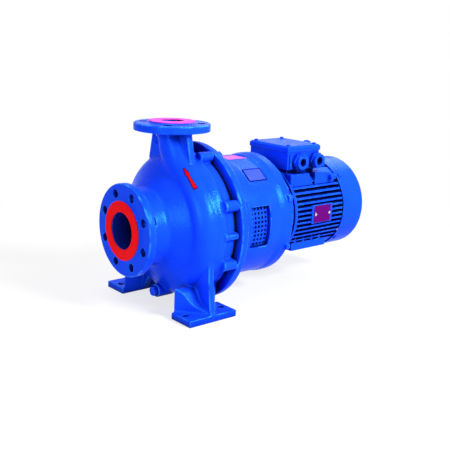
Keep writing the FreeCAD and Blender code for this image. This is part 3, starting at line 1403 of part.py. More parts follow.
def terminal_box():
    box = new_part("terminal_box")
    end = box_start + box_length
    floor = new_sketch(box, "outline", "XY_Plane", offset=box_bottom)
    draw_box(floor, box_start, -box_near, end, box_far)
    pad(box, "outline", floor, box_height)
    hollow = new_sketch(box, "hollow", "XY_Plane", offset=box_bottom + box_wall)
    draw_box(hollow, box_start + box_wall, -box_near + box_wall, end - box_wall, box_far - box_wall)
    pocket(box, "hollow", hollow, box_height, back=True)
    wires = new_sketch(box, "wire_hole", "XY_Plane", offset=box_bottom)
    draw_circle(wires, box_start + box_length / 2, 0, 20)
    pocket(box, "wire_hole", wires, box_wall, back=True)
    rib = new_sketch(box, "near_rib", "XY_Plane", offset=box_bottom + 3)
    draw_box(rib, gland_places()[0] - 30, -box_near - 3, gland_places()[0] - 24, -box_near)
    pad(box, "near_rib", rib, box_height - 8)
    posts = new_sketch(box, "screw_posts", "XY_Plane", offset=box_bottom + box_wall)
    for across, along in lid_corners():
        draw_circle(posts, across, along, lid_screw + 1)
    pad(box, "screw_posts", posts, box_height - box_wall)
    threads = new_sketch(box, "screw_threads", "XY_Plane", offset=box_bottom + box_height)
    for across, along in lid_corners():
        draw_circle(threads, across, along, lid_screw / 2 + thread_clearance)
    pocket(box, "screw_threads", threads, 16)
    entries = new_sketch(box, "entries", "XZ_Plane", offset=box_near)
    for place in gland_places():
        draw_circle(entries, place, box_bottom + gland_rise, gland_thread / 2 + thread_clearance)
    pocket(box, "entries", entries, box_wall + 1)
    seal = new_part("lid_gasket")
    outline = new_sketch(seal, "outline", "XY_Plane", offset=box_bottom + box_height)
    draw_box(outline, box_start, -box_near, end, box_far)
    draw_box(outline, box_start + 3, -box_near + 3, end - 3, box_far - 3)
    pad(seal, "outline", outline, 1)
    lid = new_part("terminal_box_lid")
    top = new_sketch(lid, "outline", "XY_Plane", offset=box_bottom + box_height + 1)
    draw_box(top, box_start - 2, -box_near - 2, end + 2, box_far + 2)
    block = pad(lid, "outline", top, lid_height)
    doc.recompute()
    upper = [edge_name for edge_name in top_edges(block.Shape)]
    bevel = lid.newObject("PartDesign::Chamfer", "terminal_box_lid_bevel")
    bevel.Base = (block, upper)
    bevel.Size = 4
    finish(lid, bevel)
    bumps = new_sketch(lid, "rear_bumps", "YZ_Plane", offset=end + 2)
    for along in (-0.6, -0.2, 0.6):
        draw_circle(bumps, box_near * along, box_bottom + box_height + 1 + lid_height / 2, 4.5)
    pad(lid, "rear_bumps", bumps, 5)
    holes = new_sketch(lid, "screw_holes", "XY_Plane", offset=box_bottom + box_height + 1)
    for across, along in lid_corners():
        draw_circle(holes, across, along, lid_screw / 2 + running_clearance)
    pocket(lid, "screw_holes", holes, lid_height, back=True)
    screws = new_part("lid_screws")
    heads = new_sketch(screws, "heads", "XY_Plane",
                       offset=box_bottom + box_height + 1 + lid_height)
    stems = new_sketch(screws, "stems", "XY_Plane", offset=box_bottom + box_height - 12)
    for across, along in lid_corners():
        draw_circle(heads, across, along, lid_screw * 0.9)
        draw_circle(stems, across, along, lid_screw / 2)
    pad(screws, "heads", heads, 3)
    pad(screws, "stems", stems, lid_height + 13)


def top_edges(shape):
    """Names of the straight edges that lie on the highest level of a shape."""
    top = shape.BoundBox.ZMax
    names = []
    for number, edge in enumerate(shape.Edges, 1):
        if all(abs(vertex.Z - top) < 0.01 for vertex in edge.Vertexes):
            names.append("Edge%d" % number)
    return names


def lid_corners():
    inset = 9
    return [(box_start + inset, -box_near + inset), (box_start + box_length - inset, -box_near + inset),
            (box_start + inset, box_far - inset), (box_start + box_length - inset, box_far - inset)]


def gland_places():
    middle = box_start + box_length / 2 + 11
    return (middle - gland_pitch / 2, middle + gland_pitch / 2)


def cable_glands():
    """Open hexagon entries on the near wall of the terminal box."""
    for number, place in enumerate(gland_places(), 1):
        gland = new_part("cable_gland_%d" % number)
        level = box_bottom + gland_rise
        hexagon = new_sketch(gland, "hexagon", "XZ_Plane", offset=box_near)
        draw_hexagon(hexagon, place, level, gland_flats)
        pad(gland, "hexagon", hexagon, 9)
        dome = new_sketch(gland, "dome", "XZ_Plane", offset=box_near + 9)
        draw_circle(dome, place, level, gland_flats / 2 - 1)
        pad(gland, "dome", dome, 9)
        stem = new_sketch(gland, "stem", "XZ_Plane", offset=box_near - box_wall)
        draw_circle(stem, place, level, gland_thread / 2)
        pad(gland, "stem", stem, box_wall)
        bore = new_sketch(gland, "bore", "XZ_Plane", offset=box_near - box_wall - 1)
        draw_circle(bore, place, level, gland_bore / 2)
        pocket(gland, "bore", bore, 30, back=True)


def terminal_board():
    board = new_part("terminal_board")
    middle = box_start + box_length / 2
    feet_sketch = new_sketch(board, "feet", "XY_Plane", offset=box_bottom + box_wall)
    for side in (-1, 1):
        draw_box(feet_sketch, middle - 32, side * 24, middle + 32, side * 29)
    pad(board, "feet", feet_sketch, 6)
    plate = new_sketch(board, "plate", "XY_Plane", offset=box_bottom + box_wall + 6)
    draw_box(plate, middle - 34, -30, middle + 34, 30)
    pad(board, "plate", plate, 6)
    studs = new_part("terminal_studs")
    level = box_bottom + box_wall + 12
    stems = new_sketch(studs, "stems", "XY_Plane", offset=level)
    nuts = new_sketch(studs, "nuts", "XY_Plane", offset=level)
    for column in (-1, 0, 1):
        for row in (-1, 1):
            draw_circle(stems, middle + 20 * column, 14 * row, 2.5)
            draw_circle(nuts, middle + 20 * column, 14 * row, 4.5)
    pad(studs, "nuts", nuts, 5)
    pad(studs, "stems", stems, 14)


def eye_bolt():
    part = new_part("eye_bolt")
    middle = frame_end() - 28
    seat = frame_radius + 8
    stem = new_sketch(part, "stem", "XY_Plane", offset=seat - 16)
    draw_circle(stem, middle, 0, eye_thread / 2)
    pad(part, "stem", stem, 18)
    revolve(part, "collar", [(0, seat), (12, seat), (9, seat + 7), (0, seat + 7)],
            axis="V_Axis", across=middle)
    ring = new_sketch(part, "ring", "YZ_Plane", along=seat + 22, offset=middle)
    draw_circle(ring, 0, 16, 5)
    torus = part.newObject("PartDesign::Revolution", "eye_bolt_ring_turned")
    torus.Profile = ring
    torus.ReferenceAxis = (ring, ["H_Axis"])
    torus.Angle = 360
    finish(part, torus)
    return part


def motor_plate():
    plate = new_part("motor_nameplate")
    outline = new_sketch(plate, "outline", "XZ_Plane", offset=frame_radius + 1)
    draw_box(outline, plate_start, -plate_height / 2, plate_start + plate_length, plate_height / 2)
    for place in (plate_start + 4, plate_start + plate_length - 4):
        draw_circle(outline, place, 0, 1.8)
    pad(plate, "outline", outline, 0.8)
    rivets = new_part("nameplate_rivets")
    heads = new_sketch(rivets, "heads", "XZ_Plane", offset=frame_radius + 1.8)
    stems = new_sketch(rivets, "stems", "XZ_Plane", offset=frame_radius + 1)
    for place in (plate_start + 4, plate_start + plate_length - 4):
        draw_circle(heads, place, 0, 3.2)
        draw_circle(stems, place, 0, 1.5)
    pad(rivets, "heads", heads, 1.4)
    pad(rivets, "stems", stems, 0.9)


def motor():
    drive_end_shield()
    motor_frame()
    stator()
    rotor()
    drive_start = frame_start - 2 - drive_bearing_width - 1
    bearing("drive_bearing", drive_start + 0.5, drive_bearing_width, drive_bearing_outer, 12)
    bearing("rear_bearing", rear_bearing_start(), rear_bearing_width, rear_bearing_outer, 9.5)
    rear_shield()
    cooling_fan()
    fan_cowl()
    terminal_box()
    cable_glands()
    terminal_board()
    eye_bolt()
    motor_plate()


# Building, checking and writing.

def build():
    volute_casing()
    face_rings()
    drain_plug()
    wear_ring()
    impeller()
    impeller_fastening()
    stub_shaft()
    casing_cover()
    shaft_seal()
    lantern()
    guards()
    lantern_plates()
    casing_bolts()
    motor_bolts()
    motor()


def check():
    """Stops before anything is written if an object or a solid is not sound."""
    for item in doc.Objects:
        if "Invalid" in item.State or "Error" in item.State:
            raise RuntimeError("%s is %s" % (item.Name, item.State))
    for part in made_parts:
        if part.Shape.isNull() or not part.Shape.isValid() or not part.Shape.Solids:
            raise RuntimeError("%s has no sound solid" % part.Label)


build()
doc.recompute()
check()
os.makedirs("parts", exist_ok=True)
for part in made_parts:
    part.Shape.exportStep("parts/%s.step" % part.Label)
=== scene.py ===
import json
import math

import bmesh
import bpy
import numpy as np
from mathutils import Matrix, Vector
from mathutils.bvhtree import BVHTree


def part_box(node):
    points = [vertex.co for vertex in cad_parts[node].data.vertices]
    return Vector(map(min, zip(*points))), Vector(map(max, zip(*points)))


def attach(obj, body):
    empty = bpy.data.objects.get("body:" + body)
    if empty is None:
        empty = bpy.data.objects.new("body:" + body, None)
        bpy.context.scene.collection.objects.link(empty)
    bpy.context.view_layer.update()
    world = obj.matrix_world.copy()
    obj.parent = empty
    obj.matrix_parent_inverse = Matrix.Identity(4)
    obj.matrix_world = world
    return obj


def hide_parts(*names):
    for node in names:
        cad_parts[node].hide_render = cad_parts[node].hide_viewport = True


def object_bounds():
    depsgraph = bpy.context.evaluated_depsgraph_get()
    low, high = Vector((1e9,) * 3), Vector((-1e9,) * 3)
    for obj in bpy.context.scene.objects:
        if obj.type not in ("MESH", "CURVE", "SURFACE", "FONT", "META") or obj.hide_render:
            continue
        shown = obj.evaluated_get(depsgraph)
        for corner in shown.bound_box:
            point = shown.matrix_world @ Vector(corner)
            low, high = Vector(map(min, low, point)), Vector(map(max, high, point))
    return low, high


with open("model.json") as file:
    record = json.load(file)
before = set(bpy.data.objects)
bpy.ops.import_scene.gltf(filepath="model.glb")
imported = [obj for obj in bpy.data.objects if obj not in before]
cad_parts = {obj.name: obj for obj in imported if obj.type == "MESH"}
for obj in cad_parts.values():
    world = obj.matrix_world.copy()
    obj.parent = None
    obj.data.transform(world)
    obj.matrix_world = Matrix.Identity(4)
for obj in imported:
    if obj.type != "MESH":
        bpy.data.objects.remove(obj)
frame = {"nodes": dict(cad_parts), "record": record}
cad_low, cad_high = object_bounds()
scene = bpy.context.scene
nodes = frame["nodes"]
MM = 0.001

# Sizes of the pump in millimetres.
SHAFT_HEIGHT = 180
FLANGE_THICKNESS = 21
FOOT_THICKNESS = 13
INLET_RADIUS = 41
INLET_REACH = 150
INLET_FADE = 50
OUTLET_RADIUS = 27
OUTLET_REACH = 24
OUTLET_FADE = 15
OUTLET_FACE_RISE = 3.5
OUTLET_BOLT_CIRCLE = 125
BOLT_HOLE_RADIUS = 9.8
LUG_RADIUS = 8
LUG_LENGTH = 36
LUG_END = 57
LUG_PLACE = 160
LUG_SIDES = 32
LABEL_LENGTH = 56
LABEL_CORNER = 3
LABEL_CORNER_STEPS = 4

# Camera, fitted to the flanges and feet in the photograph.
CAMERA_PLACE = Vector((-0.9328, -1.2816, 0.5751))
CAMERA_AZIMUTH = math.radians(49.589)
CAMERA_DROP = math.radians(14.012)
CAMERA_ROLL = math.radians(2.098)
CAMERA_LENS = 59.12
CAMERA_SENSOR = 36


def place_camera():
    ahead = Vector((math.cos(CAMERA_AZIMUTH) * math.cos(CAMERA_DROP),
                    math.sin(CAMERA_AZIMUTH) * math.cos(CAMERA_DROP),
                    -math.sin(CAMERA_DROP)))
    right = ahead.cross(Vector((0, 0, 1))).normalized()
    up = right.cross(ahead)
    rolled_right = math.cos(CAMERA_ROLL) * right + math.sin(CAMERA_ROLL) * up
    rolled_up = -math.sin(CAMERA_ROLL) * right + math.cos(CAMERA_ROLL) * up
    data = bpy.data.cameras.new("photo_camera")
    data.lens = CAMERA_LENS
    data.sensor_width = CAMERA_SENSOR
    camera = bpy.data.objects.new("photo_camera", data)
    turn = Matrix((rolled_right, rolled_up, -ahead)).transposed().to_4x4()
    camera.matrix_world = Matrix.Translation(CAMERA_PLACE) @ turn
    scene.collection.objects.link(camera)
    scene.camera = camera


# Light and ground, in metres. The floor turns white between its near and far distance.

WORLD_LIGHT = 0.22
LAMP_TARGET = (0.15, 0, 0.18)
FLOOR_RADIUS = 6
FLOOR_SIDES = 96
FLOOR_DROP = 0.0005
FLOOR_NEAR = 0.55
FLOOR_FAR = 1.15
FLOOR_WHITE = 0.72
FLOOR_COLOUR = (0.9, 0.9, 0.9)
FLOOR_BOUNCE = (0.5, 0.5, 0.5)
WHITE = (1, 1, 1, 1)


def add_lamp(name, place, width, height, power):
    data = bpy.data.lights.new(name, "AREA")
    data.shape = "RECTANGLE"
    data.size = width
    data.size_y = height
    data.energy = power
    lamp = bpy.data.objects.new(name, data)
    aim = (Vector(LAMP_TARGET) - Vector(place)).to_track_quat("-Z", "Y")
    lamp.matrix_world = Matrix.Translation(place) @ aim.to_matrix().to_4x4()
    scene.collection.objects.link(lamp)


def seen_directly(tree):
    """One for camera, mirror and glass rays, and zero for the light that falls on things."""
    path = add_node(tree, "ShaderNodeLightPath")
    shown = path.outputs["Is Camera Ray"]
    for ray in ("Is Glossy Ray", "Is Transmission Ray"):
        larger = add_node(tree, "ShaderNodeMath", operation="MAXIMUM")
        tree.links.new(shown, larger.inputs[0])
        tree.links.new(path.outputs[ray], larger.inputs[1])
        shown = larger.outputs[0]
    return shown


def light_the_scene():
    add_lamp("key_light", place=(0.7, -1.9, 1.5), width=0.7, height=0.7, power=88)
    add_lamp("left_light", place=(-1.9, -0.7, 0.8), width=0.7, height=0.9, power=15)
    add_lamp("top_light", place=(0.1, 0.3, 2.1), width=1.0, height=1.0, power=20)
    add_lamp("rear_light", place=(2.1, 0.7, 1.5), width=1.2, height=1.0, power=18)
    world = bpy.data.worlds.new("studio")
    world.use_nodes = True
    tree = world.node_tree
    tree.nodes.clear()
    strength = add_node(tree, "ShaderNodeMapRange")
    strength.inputs["To Min"].default_value = WORLD_LIGHT
    strength.inputs["To Max"].default_value = 1.0
    back = add_node(tree, "ShaderNodeBackground")
    back.inputs["Color"].default_value = WHITE
    out = add_node(tree, "ShaderNodeOutputWorld")
    tree.links.new(seen_directly(tree), strength.inputs["Value"])
    tree.links.new(strength.outputs[0], back.inputs["Strength"])
    tree.links.new(back.outputs[0], out.inputs["Surface"])
    scene.world = world


def lay_floor():
    """Pale round floor that keeps the shadow and fades into the white behind it."""
    mesh = bpy.data.meshes.new("floor")
    shape = bmesh.new()
    bmesh.ops.create_circle(shape, cap_ends=True, segments=FLOOR_SIDES, radius=FLOOR_RADIUS)
    shape.to_mesh(mesh)
    shape.free()
    floor = bpy.data.objects.new("floor", mesh)
    floor.location = (0, 0, cad_low[2] - FLOOR_DROP)
    scene.collection.objects.link(floor)
    material = bpy.data.materials.new("floor_white")
    material.use_nodes = True
    tree = material.node_tree
    tree.nodes.clear()
    shown = seen_directly(tree)
    matt = add_node(tree, "ShaderNodeBsdfDiffuse")
    tree.links.new(blend_colours(tree, shown, FLOOR_BOUNCE, FLOOR_COLOUR), matt.inputs["Color"])
    white = add_node(tree, "ShaderNodeEmission")
    white.inputs["Color"].default_value = WHITE
    place = add_node(tree, "ShaderNodeTexCoord").outputs["Object"]
    reach = add_node(tree, "ShaderNodeVectorMath", operation="LENGTH")
    tree.links.new(place, reach.inputs[0])
    fade = spread(tree, reach.outputs["Value"], FLOOR_WHITE, 1, FLOOR_NEAR, FLOOR_FAR)
    share = times(tree, shown, fade)
    mix = add_node(tree, "ShaderNodeMixShader")
    out = add_node(tree, "ShaderNodeOutputMaterial")
    tree.links.new(share, mix.inputs["Fac"])
    tree.links.new(matt.outputs[0], mix.inputs[1])
    tree.links.new(white.outputs[0], mix.inputs[2])
    tree.links.new(mix.outputs[0], out.inputs["Surface"])
    mesh.materials.append(material)


# Materials. Shares run from zero to one; colours are linear.

NOISE_ROUGHNESS = 0.55
NOISE_LOW = 0.3
NOISE_HIGH = 0.7
BEVEL_SAMPLES = 4
EDGE_ROUND = 0.75
EDGE_FLAT = 0.99
CURVE_LOW = 0.52
CURVE_HIGH = 0.58
SCUFF_AND_HIGHLIGHT_LOW = 0.4
SCUFF_AND_HIGHLIGHT_HIGH = 0.62
MIDDLING_GRAIN = 7
PATCH_DETAIL = 4
MIDDLING_DETAIL = 3
FINE_DETAIL = 2
# Painted shade: ambient occlusion darkens the colour in gaps, corners and between parts.
GAP_SHADE_SAMPLES = 8
GAP_SHADE_REACH = 40
GAP_SHADE_FULL_AT = 0.25
GAP_SHADE_NONE_AT = 0.82
GAP_SHADE_COLOUR_SHARE = 0.1
# Painted shade inside openings: how soon it starts, its edge width and its near-black colour.
OPENING_SHADE_START = 0.55
OPENING_EDGE = 1
OPENING_SHADE_COLOUR = (0.0006, 0.001, 0.05)
ACROSS = {"X": (0, 1, 1), "Z": (1, 1, 0)}
INWARD = {"X": 1, "Z": -1}
BLUE = (0.005, 0.058, 1.0)
BLUE_OTHER = (0.007, 0.078, 1.0)
# Light cyan on edges and convex curves: partly wear, partly painted highlight.
BLUE_WORN_AND_LIT = (0.06, 0.50, 1.0)
BLUE_SHINE = (0.10, 0.62, 1.0)
PAINTED_SCREWS = ("cowl_screws", "lid_screws", "clamp_screws")


def add_node(tree, kind, **settings):
    node = tree.nodes.new(kind)
    for name, value in settings.items():
        setattr(node, name, value)
    return node


def noise(tree, place, scale, detail):
    node = add_node(tree, "ShaderNodeTexNoise")
    node.inputs["Scale"].default_value = scale
    node.inputs["Detail"].default_value = detail
    node.inputs["Roughness"].default_value = NOISE_ROUGHNESS
    tree.links.new(place, node.inputs["Vector"])
    return node.outputs["Fac"]


def spread(tree, value, low, high, start=NOISE_LOW, end=NOISE_HIGH):
    """Maps a value between start and end to the range from low to high."""
    node = add_node(tree, "ShaderNodeMapRange")
    node.inputs["From Min"].default_value = start
    node.inputs["From Max"].default_value = end
    node.inputs["To Min"].default_value = low
    node.inputs["To Max"].default_value = high
    tree.links.new(value, node.inputs["Value"])
    return node.outputs["Result"]


def blend_colours(tree, share, first, second):
    node = add_node(tree, "ShaderNodeMix", data_type="RGBA")
    tree.links.new(share, node.inputs["Factor"])
    for socket, colour in ((node.inputs[6], first), (node.inputs[7], second)):
        if isinstance(colour, tuple):
            socket.default_value = (*colour, 1)
        else:
            tree.links.new(colour, socket)
    return node.outputs[2]


def times(tree, first, second):
    node = add_node(tree, "ShaderNodeMath", operation="MULTIPLY")
    tree.links.new(first, node.inputs[0])
    if isinstance(second, (int, float)):
        node.inputs[1].default_value = second
    else:
        tree.links.new(second, node.inputs[1])
    return node.outputs[0]


def edge_mask(tree, radius, dense):
    """Rounded normal near edges, and a mask for the lighter colour there, partly wear and partly
    painted highlight; a dense mesh also gets it on its convex curves.
    """
    rounded = add_node(tree, "ShaderNodeBevel", samples=BEVEL_SAMPLES)
    rounded.inputs["Radius"].default_value = radius
    flat = add_node(tree, "ShaderNodeNewGeometry")
    likeness = add_node(tree, "ShaderNodeVectorMath", operation="DOT_PRODUCT")
    tree.links.new(rounded.outputs["Normal"], likeness.inputs[0])
    tree.links.new(flat.outputs["Normal"], likeness.inputs[1])
    sharp = spread(tree, likeness.outputs["Value"], 1, 0, EDGE_ROUND, EDGE_FLAT)
    if not dense:
        return rounded.outputs["Normal"], sharp
    soft = spread(tree, flat.outputs["Pointiness"], 0, 1, CURVE_LOW, CURVE_HIGH)
    either = add_node(tree, "ShaderNodeMath", operation="MAXIMUM")
    tree.links.new(sharp, either.inputs[0])
    tree.links.new(soft, either.inputs[1])
    return rounded.outputs["Normal"], either.outputs[0]


def way_in(tree, axis, middle, mouth, radius, fade, reach, aside=(0, 0, 0)):
    """Share of the way into an opening and its mirror twins: none outside, one deep inside."""
    place = add_node(tree, "ShaderNodeTexCoord").outputs["Object"]
    shifted = add_node(tree, "ShaderNodeVectorMath", operation="SUBTRACT")
    shifted.inputs[1].default_value = middle
    folded = add_node(tree, "ShaderNodeVectorMath", operation="ABSOLUTE")
    centred = add_node(tree, "ShaderNodeVectorMath", operation="SUBTRACT")
    centred.inputs[1].default_value = aside
    flat = add_node(tree, "ShaderNodeVectorMath", operation="MULTIPLY")
    flat.inputs[1].default_value = ACROSS[axis]
    distance = add_node(tree, "ShaderNodeVectorMath", operation="LENGTH")
    tree.links.new(place, shifted.inputs[0])
    chain = (shifted, folded, centred, flat, distance)
    for first, second in zip(chain, chain[1:]):
        tree.links.new(first.outputs[0], second.inputs[0])
    inside = spread(tree, distance.outputs["Value"], 1, 0, radius * MM,
                    (radius + OPENING_EDGE) * MM)
    parts = add_node(tree, "ShaderNodeSeparateXYZ")
    tree.links.new(place, parts.inputs[0])
    depth = add_node(tree, "ShaderNodeMath", operation="MULTIPLY_ADD")
    depth.inputs[1].default_value = INWARD[axis]
    depth.inputs[2].default_value = -INWARD[axis] * mouth
    tree.links.new(parts.outputs[axis], depth.inputs[0])
    deepening = spread(tree, depth.outputs[0], OPENING_SHADE_START, 1, 0, fade * MM)
    ended = spread(tree, depth.outputs[0], 1, 0, reach * MM, (reach + OPENING_EDGE) * MM)
    return times(tree, times(tree, inside, deepening), ended)


def darken_openings(tree, base):
    """Painted shade: the insides of both waterways and of the outlet flange's bolt holes turn
    dark.
    """
    shaft = (0, 0, SHAFT_HEIGHT * MM)
    foot = (0, 0, 0)
    top = cad_high[2]
    inlet = way_in(tree, "X", shaft, cad_low[0], INLET_RADIUS, INLET_FADE, INLET_REACH)
    outlet = way_in(tree, "Z", foot, top, OUTLET_RADIUS, OUTLET_FADE, OUTLET_REACH)
    corner = OUTLET_BOLT_CIRCLE / 2 * math.sqrt(0.5) * MM
    holes = way_in(tree, "Z", foot, top - OUTLET_FACE_RISE * MM, BOLT_HOLE_RADIUS,
                   OPENING_EDGE, FLANGE_THICKNESS, (corner, corner, 0))
    for share in (inlet, outlet, holes):
        base = blend_colours(tree, share, base, OPENING_SHADE_COLOUR)
    return base


def surface(name, colour, other, worn_and_lit, roughness=(0.3, 0.5), metallic=0.0, patch=9.0,
            grain=900.0, depth=0.12, rounding=0.8, wear=0.5, gloss=0.5, tint=(1, 1, 1),
            gap_shade=0.0, openings=False, dense=False, relief=0.4, stretch=(1, 1, 1)):
    """Two mixed colours with grain, a lighter colour on round edges that is partly wear and
    partly painted highlight, painted shade in gaps, and painted shade inside openings.
    """
    material = bpy.data.materials.new(name)
    material.use_nodes = True
    tree = material.node_tree
    shader = tree.nodes["Principled BSDF"]
    place = add_node(tree, "ShaderNodeTexCoord").outputs["Object"]
    scaled = add_node(tree, "ShaderNodeMapping")
    scaled.inputs["Scale"].default_value = stretch
    tree.links.new(place, scaled.inputs["Vector"])
    place = scaled.outputs["Vector"]
    patches = noise(tree, place, patch, PATCH_DETAIL)
    fine = noise(tree, place, grain, FINE_DETAIL)
    middling = noise(tree, place, grain / MIDDLING_GRAIN, MIDDLING_DETAIL)
    normal, edges = edge_mask(tree, rounding * MM, dense)
    base = blend_colours(tree, spread(tree, patches, 0, 1), colour, other)
    # Lighter colour on edges and curves in patches: partly wear, partly painted highlight.
    scuffs_and_highlights = times(tree, edges, spread(tree, middling, 0, 1, SCUFF_AND_HIGHLIGHT_LOW, SCUFF_AND_HIGHLIGHT_HIGH))
    base = blend_colours(tree, times(tree, scuffs_and_highlights, wear), base, worn_and_lit)
    # Painted shade: the colour goes towards a tenth of itself where nearby surfaces close in.
    if gap_shade:
        open_share = add_node(tree, "ShaderNodeAmbientOcclusion", samples=GAP_SHADE_SAMPLES)
        open_share.inputs["Distance"].default_value = GAP_SHADE_REACH * MM
        gap_shade_share = spread(tree, open_share.outputs["AO"], gap_shade, 0, GAP_SHADE_FULL_AT, GAP_SHADE_NONE_AT)
        deep = tuple(GAP_SHADE_COLOUR_SHARE * part for part in colour)
        base = blend_colours(tree, gap_shade_share, base, deep)
    # Painted shade inside the waterways and bolt holes, placed by position.
    if openings:
        base = darken_openings(tree, base)
    tree.links.new(base, shader.inputs["Base Color"])
    shader.inputs["Metallic"].default_value = metallic
    shader.inputs["Specular IOR Level"].default_value = gloss
    shader.inputs["Specular Tint"].default_value = (*tint, 1)
    tree.links.new(spread(tree, middling, *roughness), shader.inputs["Roughness"])
    bump = add_node(tree, "ShaderNodeBump")
    bump.inputs["Strength"].default_value = depth
    bump.inputs["Distance"].default_value = relief * MM
    tree.links.new(fine, bump.inputs["Height"])
    tree.links.new(normal, bump.inputs["Normal"])
    tree.links.new(bump.outputs["Normal"], shader.inputs["Normal"])
    return material


def blue_surface(name, **settings):
    return surface(name, BLUE, BLUE_OTHER, BLUE_WORN_AND_LIT, (0.17, 0.32), 0.2, grain=300,
                   rounding=1.6, gloss=0.03, tint=BLUE_SHINE, gap_shade=0.95, **settings)


def make_finishes():
    """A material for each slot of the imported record, and some that only the scene needs."""
    return {
        "blue_paint": blue_surface("blue_enamel", depth=0.25, wear=0.8),
        "blue_cast": blue_surface("blue_cast_enamel", depth=0.9, wear=1.0,
                                  openings=True, dense=True, relief=0.6),
        "red_ring": surface("red_coating", (0.95, 0.004, 0.010), (1.0, 0.010, 0.016),
                            (1.0, 0.08, 0.06), (0.35, 0.5), grain=500, depth=0.08, gloss=0.02,
                            tint=(1, 0.1, 0.1)),
        # Pink copy of the red coating for the upward outlet ring: a painted sheen of light on
        # it.
        "ring_sheen": surface("red_coating_painted_sheen", (0.90, 0.05, 0.50), (0.95, 0.09, 0.62),
                              (1.0, 0.3, 0.8), (0.35, 0.5), grain=500, depth=0.08, gloss=0.02),
        "arrow_red": surface("arrow_enamel", (0.42, 0.002, 0.004), (0.66, 0.004, 0.008),
                             (0.9, 0.02, 0.02), (0.35, 0.5), patch=300, gloss=0.02,
                             tint=(1, 0.1, 0.1)),
        # Near black for painted shadow: the arrow's dark bed and the pump plate's dark bead.
        "painted_edge_shadow": surface("painted_edge_shadow", (0.001, 0.001, 0.004), (0.002, 0.002, 0.006),
                             (0.004, 0.004, 0.01), (0.5, 0.6), gloss=0.02),
        "bronze": surface("bronze", (0.46, 0.26, 0.09), (0.56, 0.33, 0.13),
                          (0.8, 0.6, 0.3), (0.25, 0.4), 1.0, stretch=(1, 6, 6)),
        "cast_impeller": surface("cast_impeller", (0.03, 0.045, 0.10), (0.045, 0.06, 0.13),
                                 (0.2, 0.22, 0.3), (0.45, 0.65), 0.6, grain=500, depth=0.3),
        "stainless": surface("stainless", (0.52, 0.53, 0.55), (0.6, 0.61, 0.62),
                             (0.8, 0.8, 0.8), (0.2, 0.34), 1.0, stretch=(8, 1, 1)),
        "cast_cover": surface("cast_cover", (0.05, 0.06, 0.08), (0.08, 0.09, 0.11),
                              (0.3, 0.3, 0.3), (0.5, 0.7), 0.5, grain=500, depth=0.35),
        "fibre": surface("fibre", (0.10, 0.13, 0.11), (0.14, 0.17, 0.14), (0.3, 0.3, 0.28),
                         (0.7, 0.9), grain=1500),
        "ceramic": surface("ceramic", (0.72, 0.70, 0.64), (0.8, 0.78, 0.72),
                           (0.85, 0.85, 0.8), (0.15, 0.25)),
        "carbon": surface("carbon", (0.02, 0.02, 0.022), (0.035, 0.035, 0.037),
                          (0.1, 0.1, 0.1), (0.3, 0.45)),
        "zinc_steel": surface("zinc_steel", (0.44, 0.46, 0.5), (0.56, 0.57, 0.58),
                              (0.8, 0.8, 0.8), (0.25, 0.42), 1.0),
        "bright_rivet": surface("bright_rivet", (0.75, 0.75, 0.72), (0.85, 0.85, 0.8),
                                (0.95, 0.95, 0.95), (0.15, 0.3), 1.0),
        "plate_violet": surface("violet_plate", (0.025, 0.06, 0.55), (0.035, 0.08, 0.65),
                                (0.2, 0.25, 0.8), (0.3, 0.4), grain=1400, depth=0.06, gloss=0.1),
        "plate_magenta": surface("magenta_plate", (0.15, 0.001, 0.04), (0.05, 0.001, 0.22),
                                 (0.3, 0.02, 0.2), (0.4, 0.5), patch=330, depth=0.06,
                                 gloss=0.02),
        "label_pink": surface("pink_label", (0.46, 0.07, 0.55), (0.58, 0.12, 0.68),
                              (0.8, 0.6, 0.9), (0.35, 0.5), gloss=0.1),
        "lamination": surface("lamination", (0.16, 0.16, 0.17), (0.22, 0.22, 0.23),
                              (0.4, 0.4, 0.4), (0.35, 0.5), 0.9, grain=300,
                              stretch=(6, 0.1, 0.1), depth=0.4),
        "copper": surface("copper_winding", (0.45, 0.14, 0.05), (0.55, 0.2, 0.07),
                          (0.8, 0.4, 0.2), (0.3, 0.45), 0.9, grain=260, depth=0.5),
        "rotor_alloy": surface("rotor_alloy", (0.5, 0.5, 0.52), (0.6, 0.6, 0.62),
                               (0.8, 0.8, 0.8), (0.3, 0.5), 1.0),
        "bearing_steel": surface("bearing_steel", (0.6, 0.6, 0.62), (0.68, 0.68, 0.7),
                                 (0.85, 0.85, 0.85), (0.12, 0.22), 1.0),
        "black_rubber": surface("black_rubber", (0.015, 0.015, 0.016), (0.025, 0.025, 0.026),
                                (0.06, 0.06, 0.06), (0.6, 0.75)),
        "black_plastic": surface("black_plastic", (0.02, 0.02, 0.022), (0.03, 0.03, 0.034),
                                 (0.08, 0.08, 0.08), (0.4, 0.55)),
        "brass": surface("brass", (0.62, 0.42, 0.12), (0.7, 0.5, 0.17), (0.9, 0.8, 0.4),
                         (0.2, 0.35), 1.0),
    }


def dress_nodes(finishes):
    for part in frame["record"]["subparts"]:
        mesh = nodes[part["node"]].data
        mesh.materials.clear()
        mesh.materials.append(finishes[part["material_slot"]])
    # The outlet ring gets the pink copy of the red coating, a painted sheen.
    nodes["discharge_gasket"].data.materials[0] = finishes["ring_sheen"]
    for screws in PAINTED_SCREWS:
        nodes[screws].data.materials[0] = finishes["blue_paint"]


# Cast pieces: the CAD solid with the fillets of a sand casting.

FILLET_SHARE = 0.6
EDGE_SHARE = 0.1


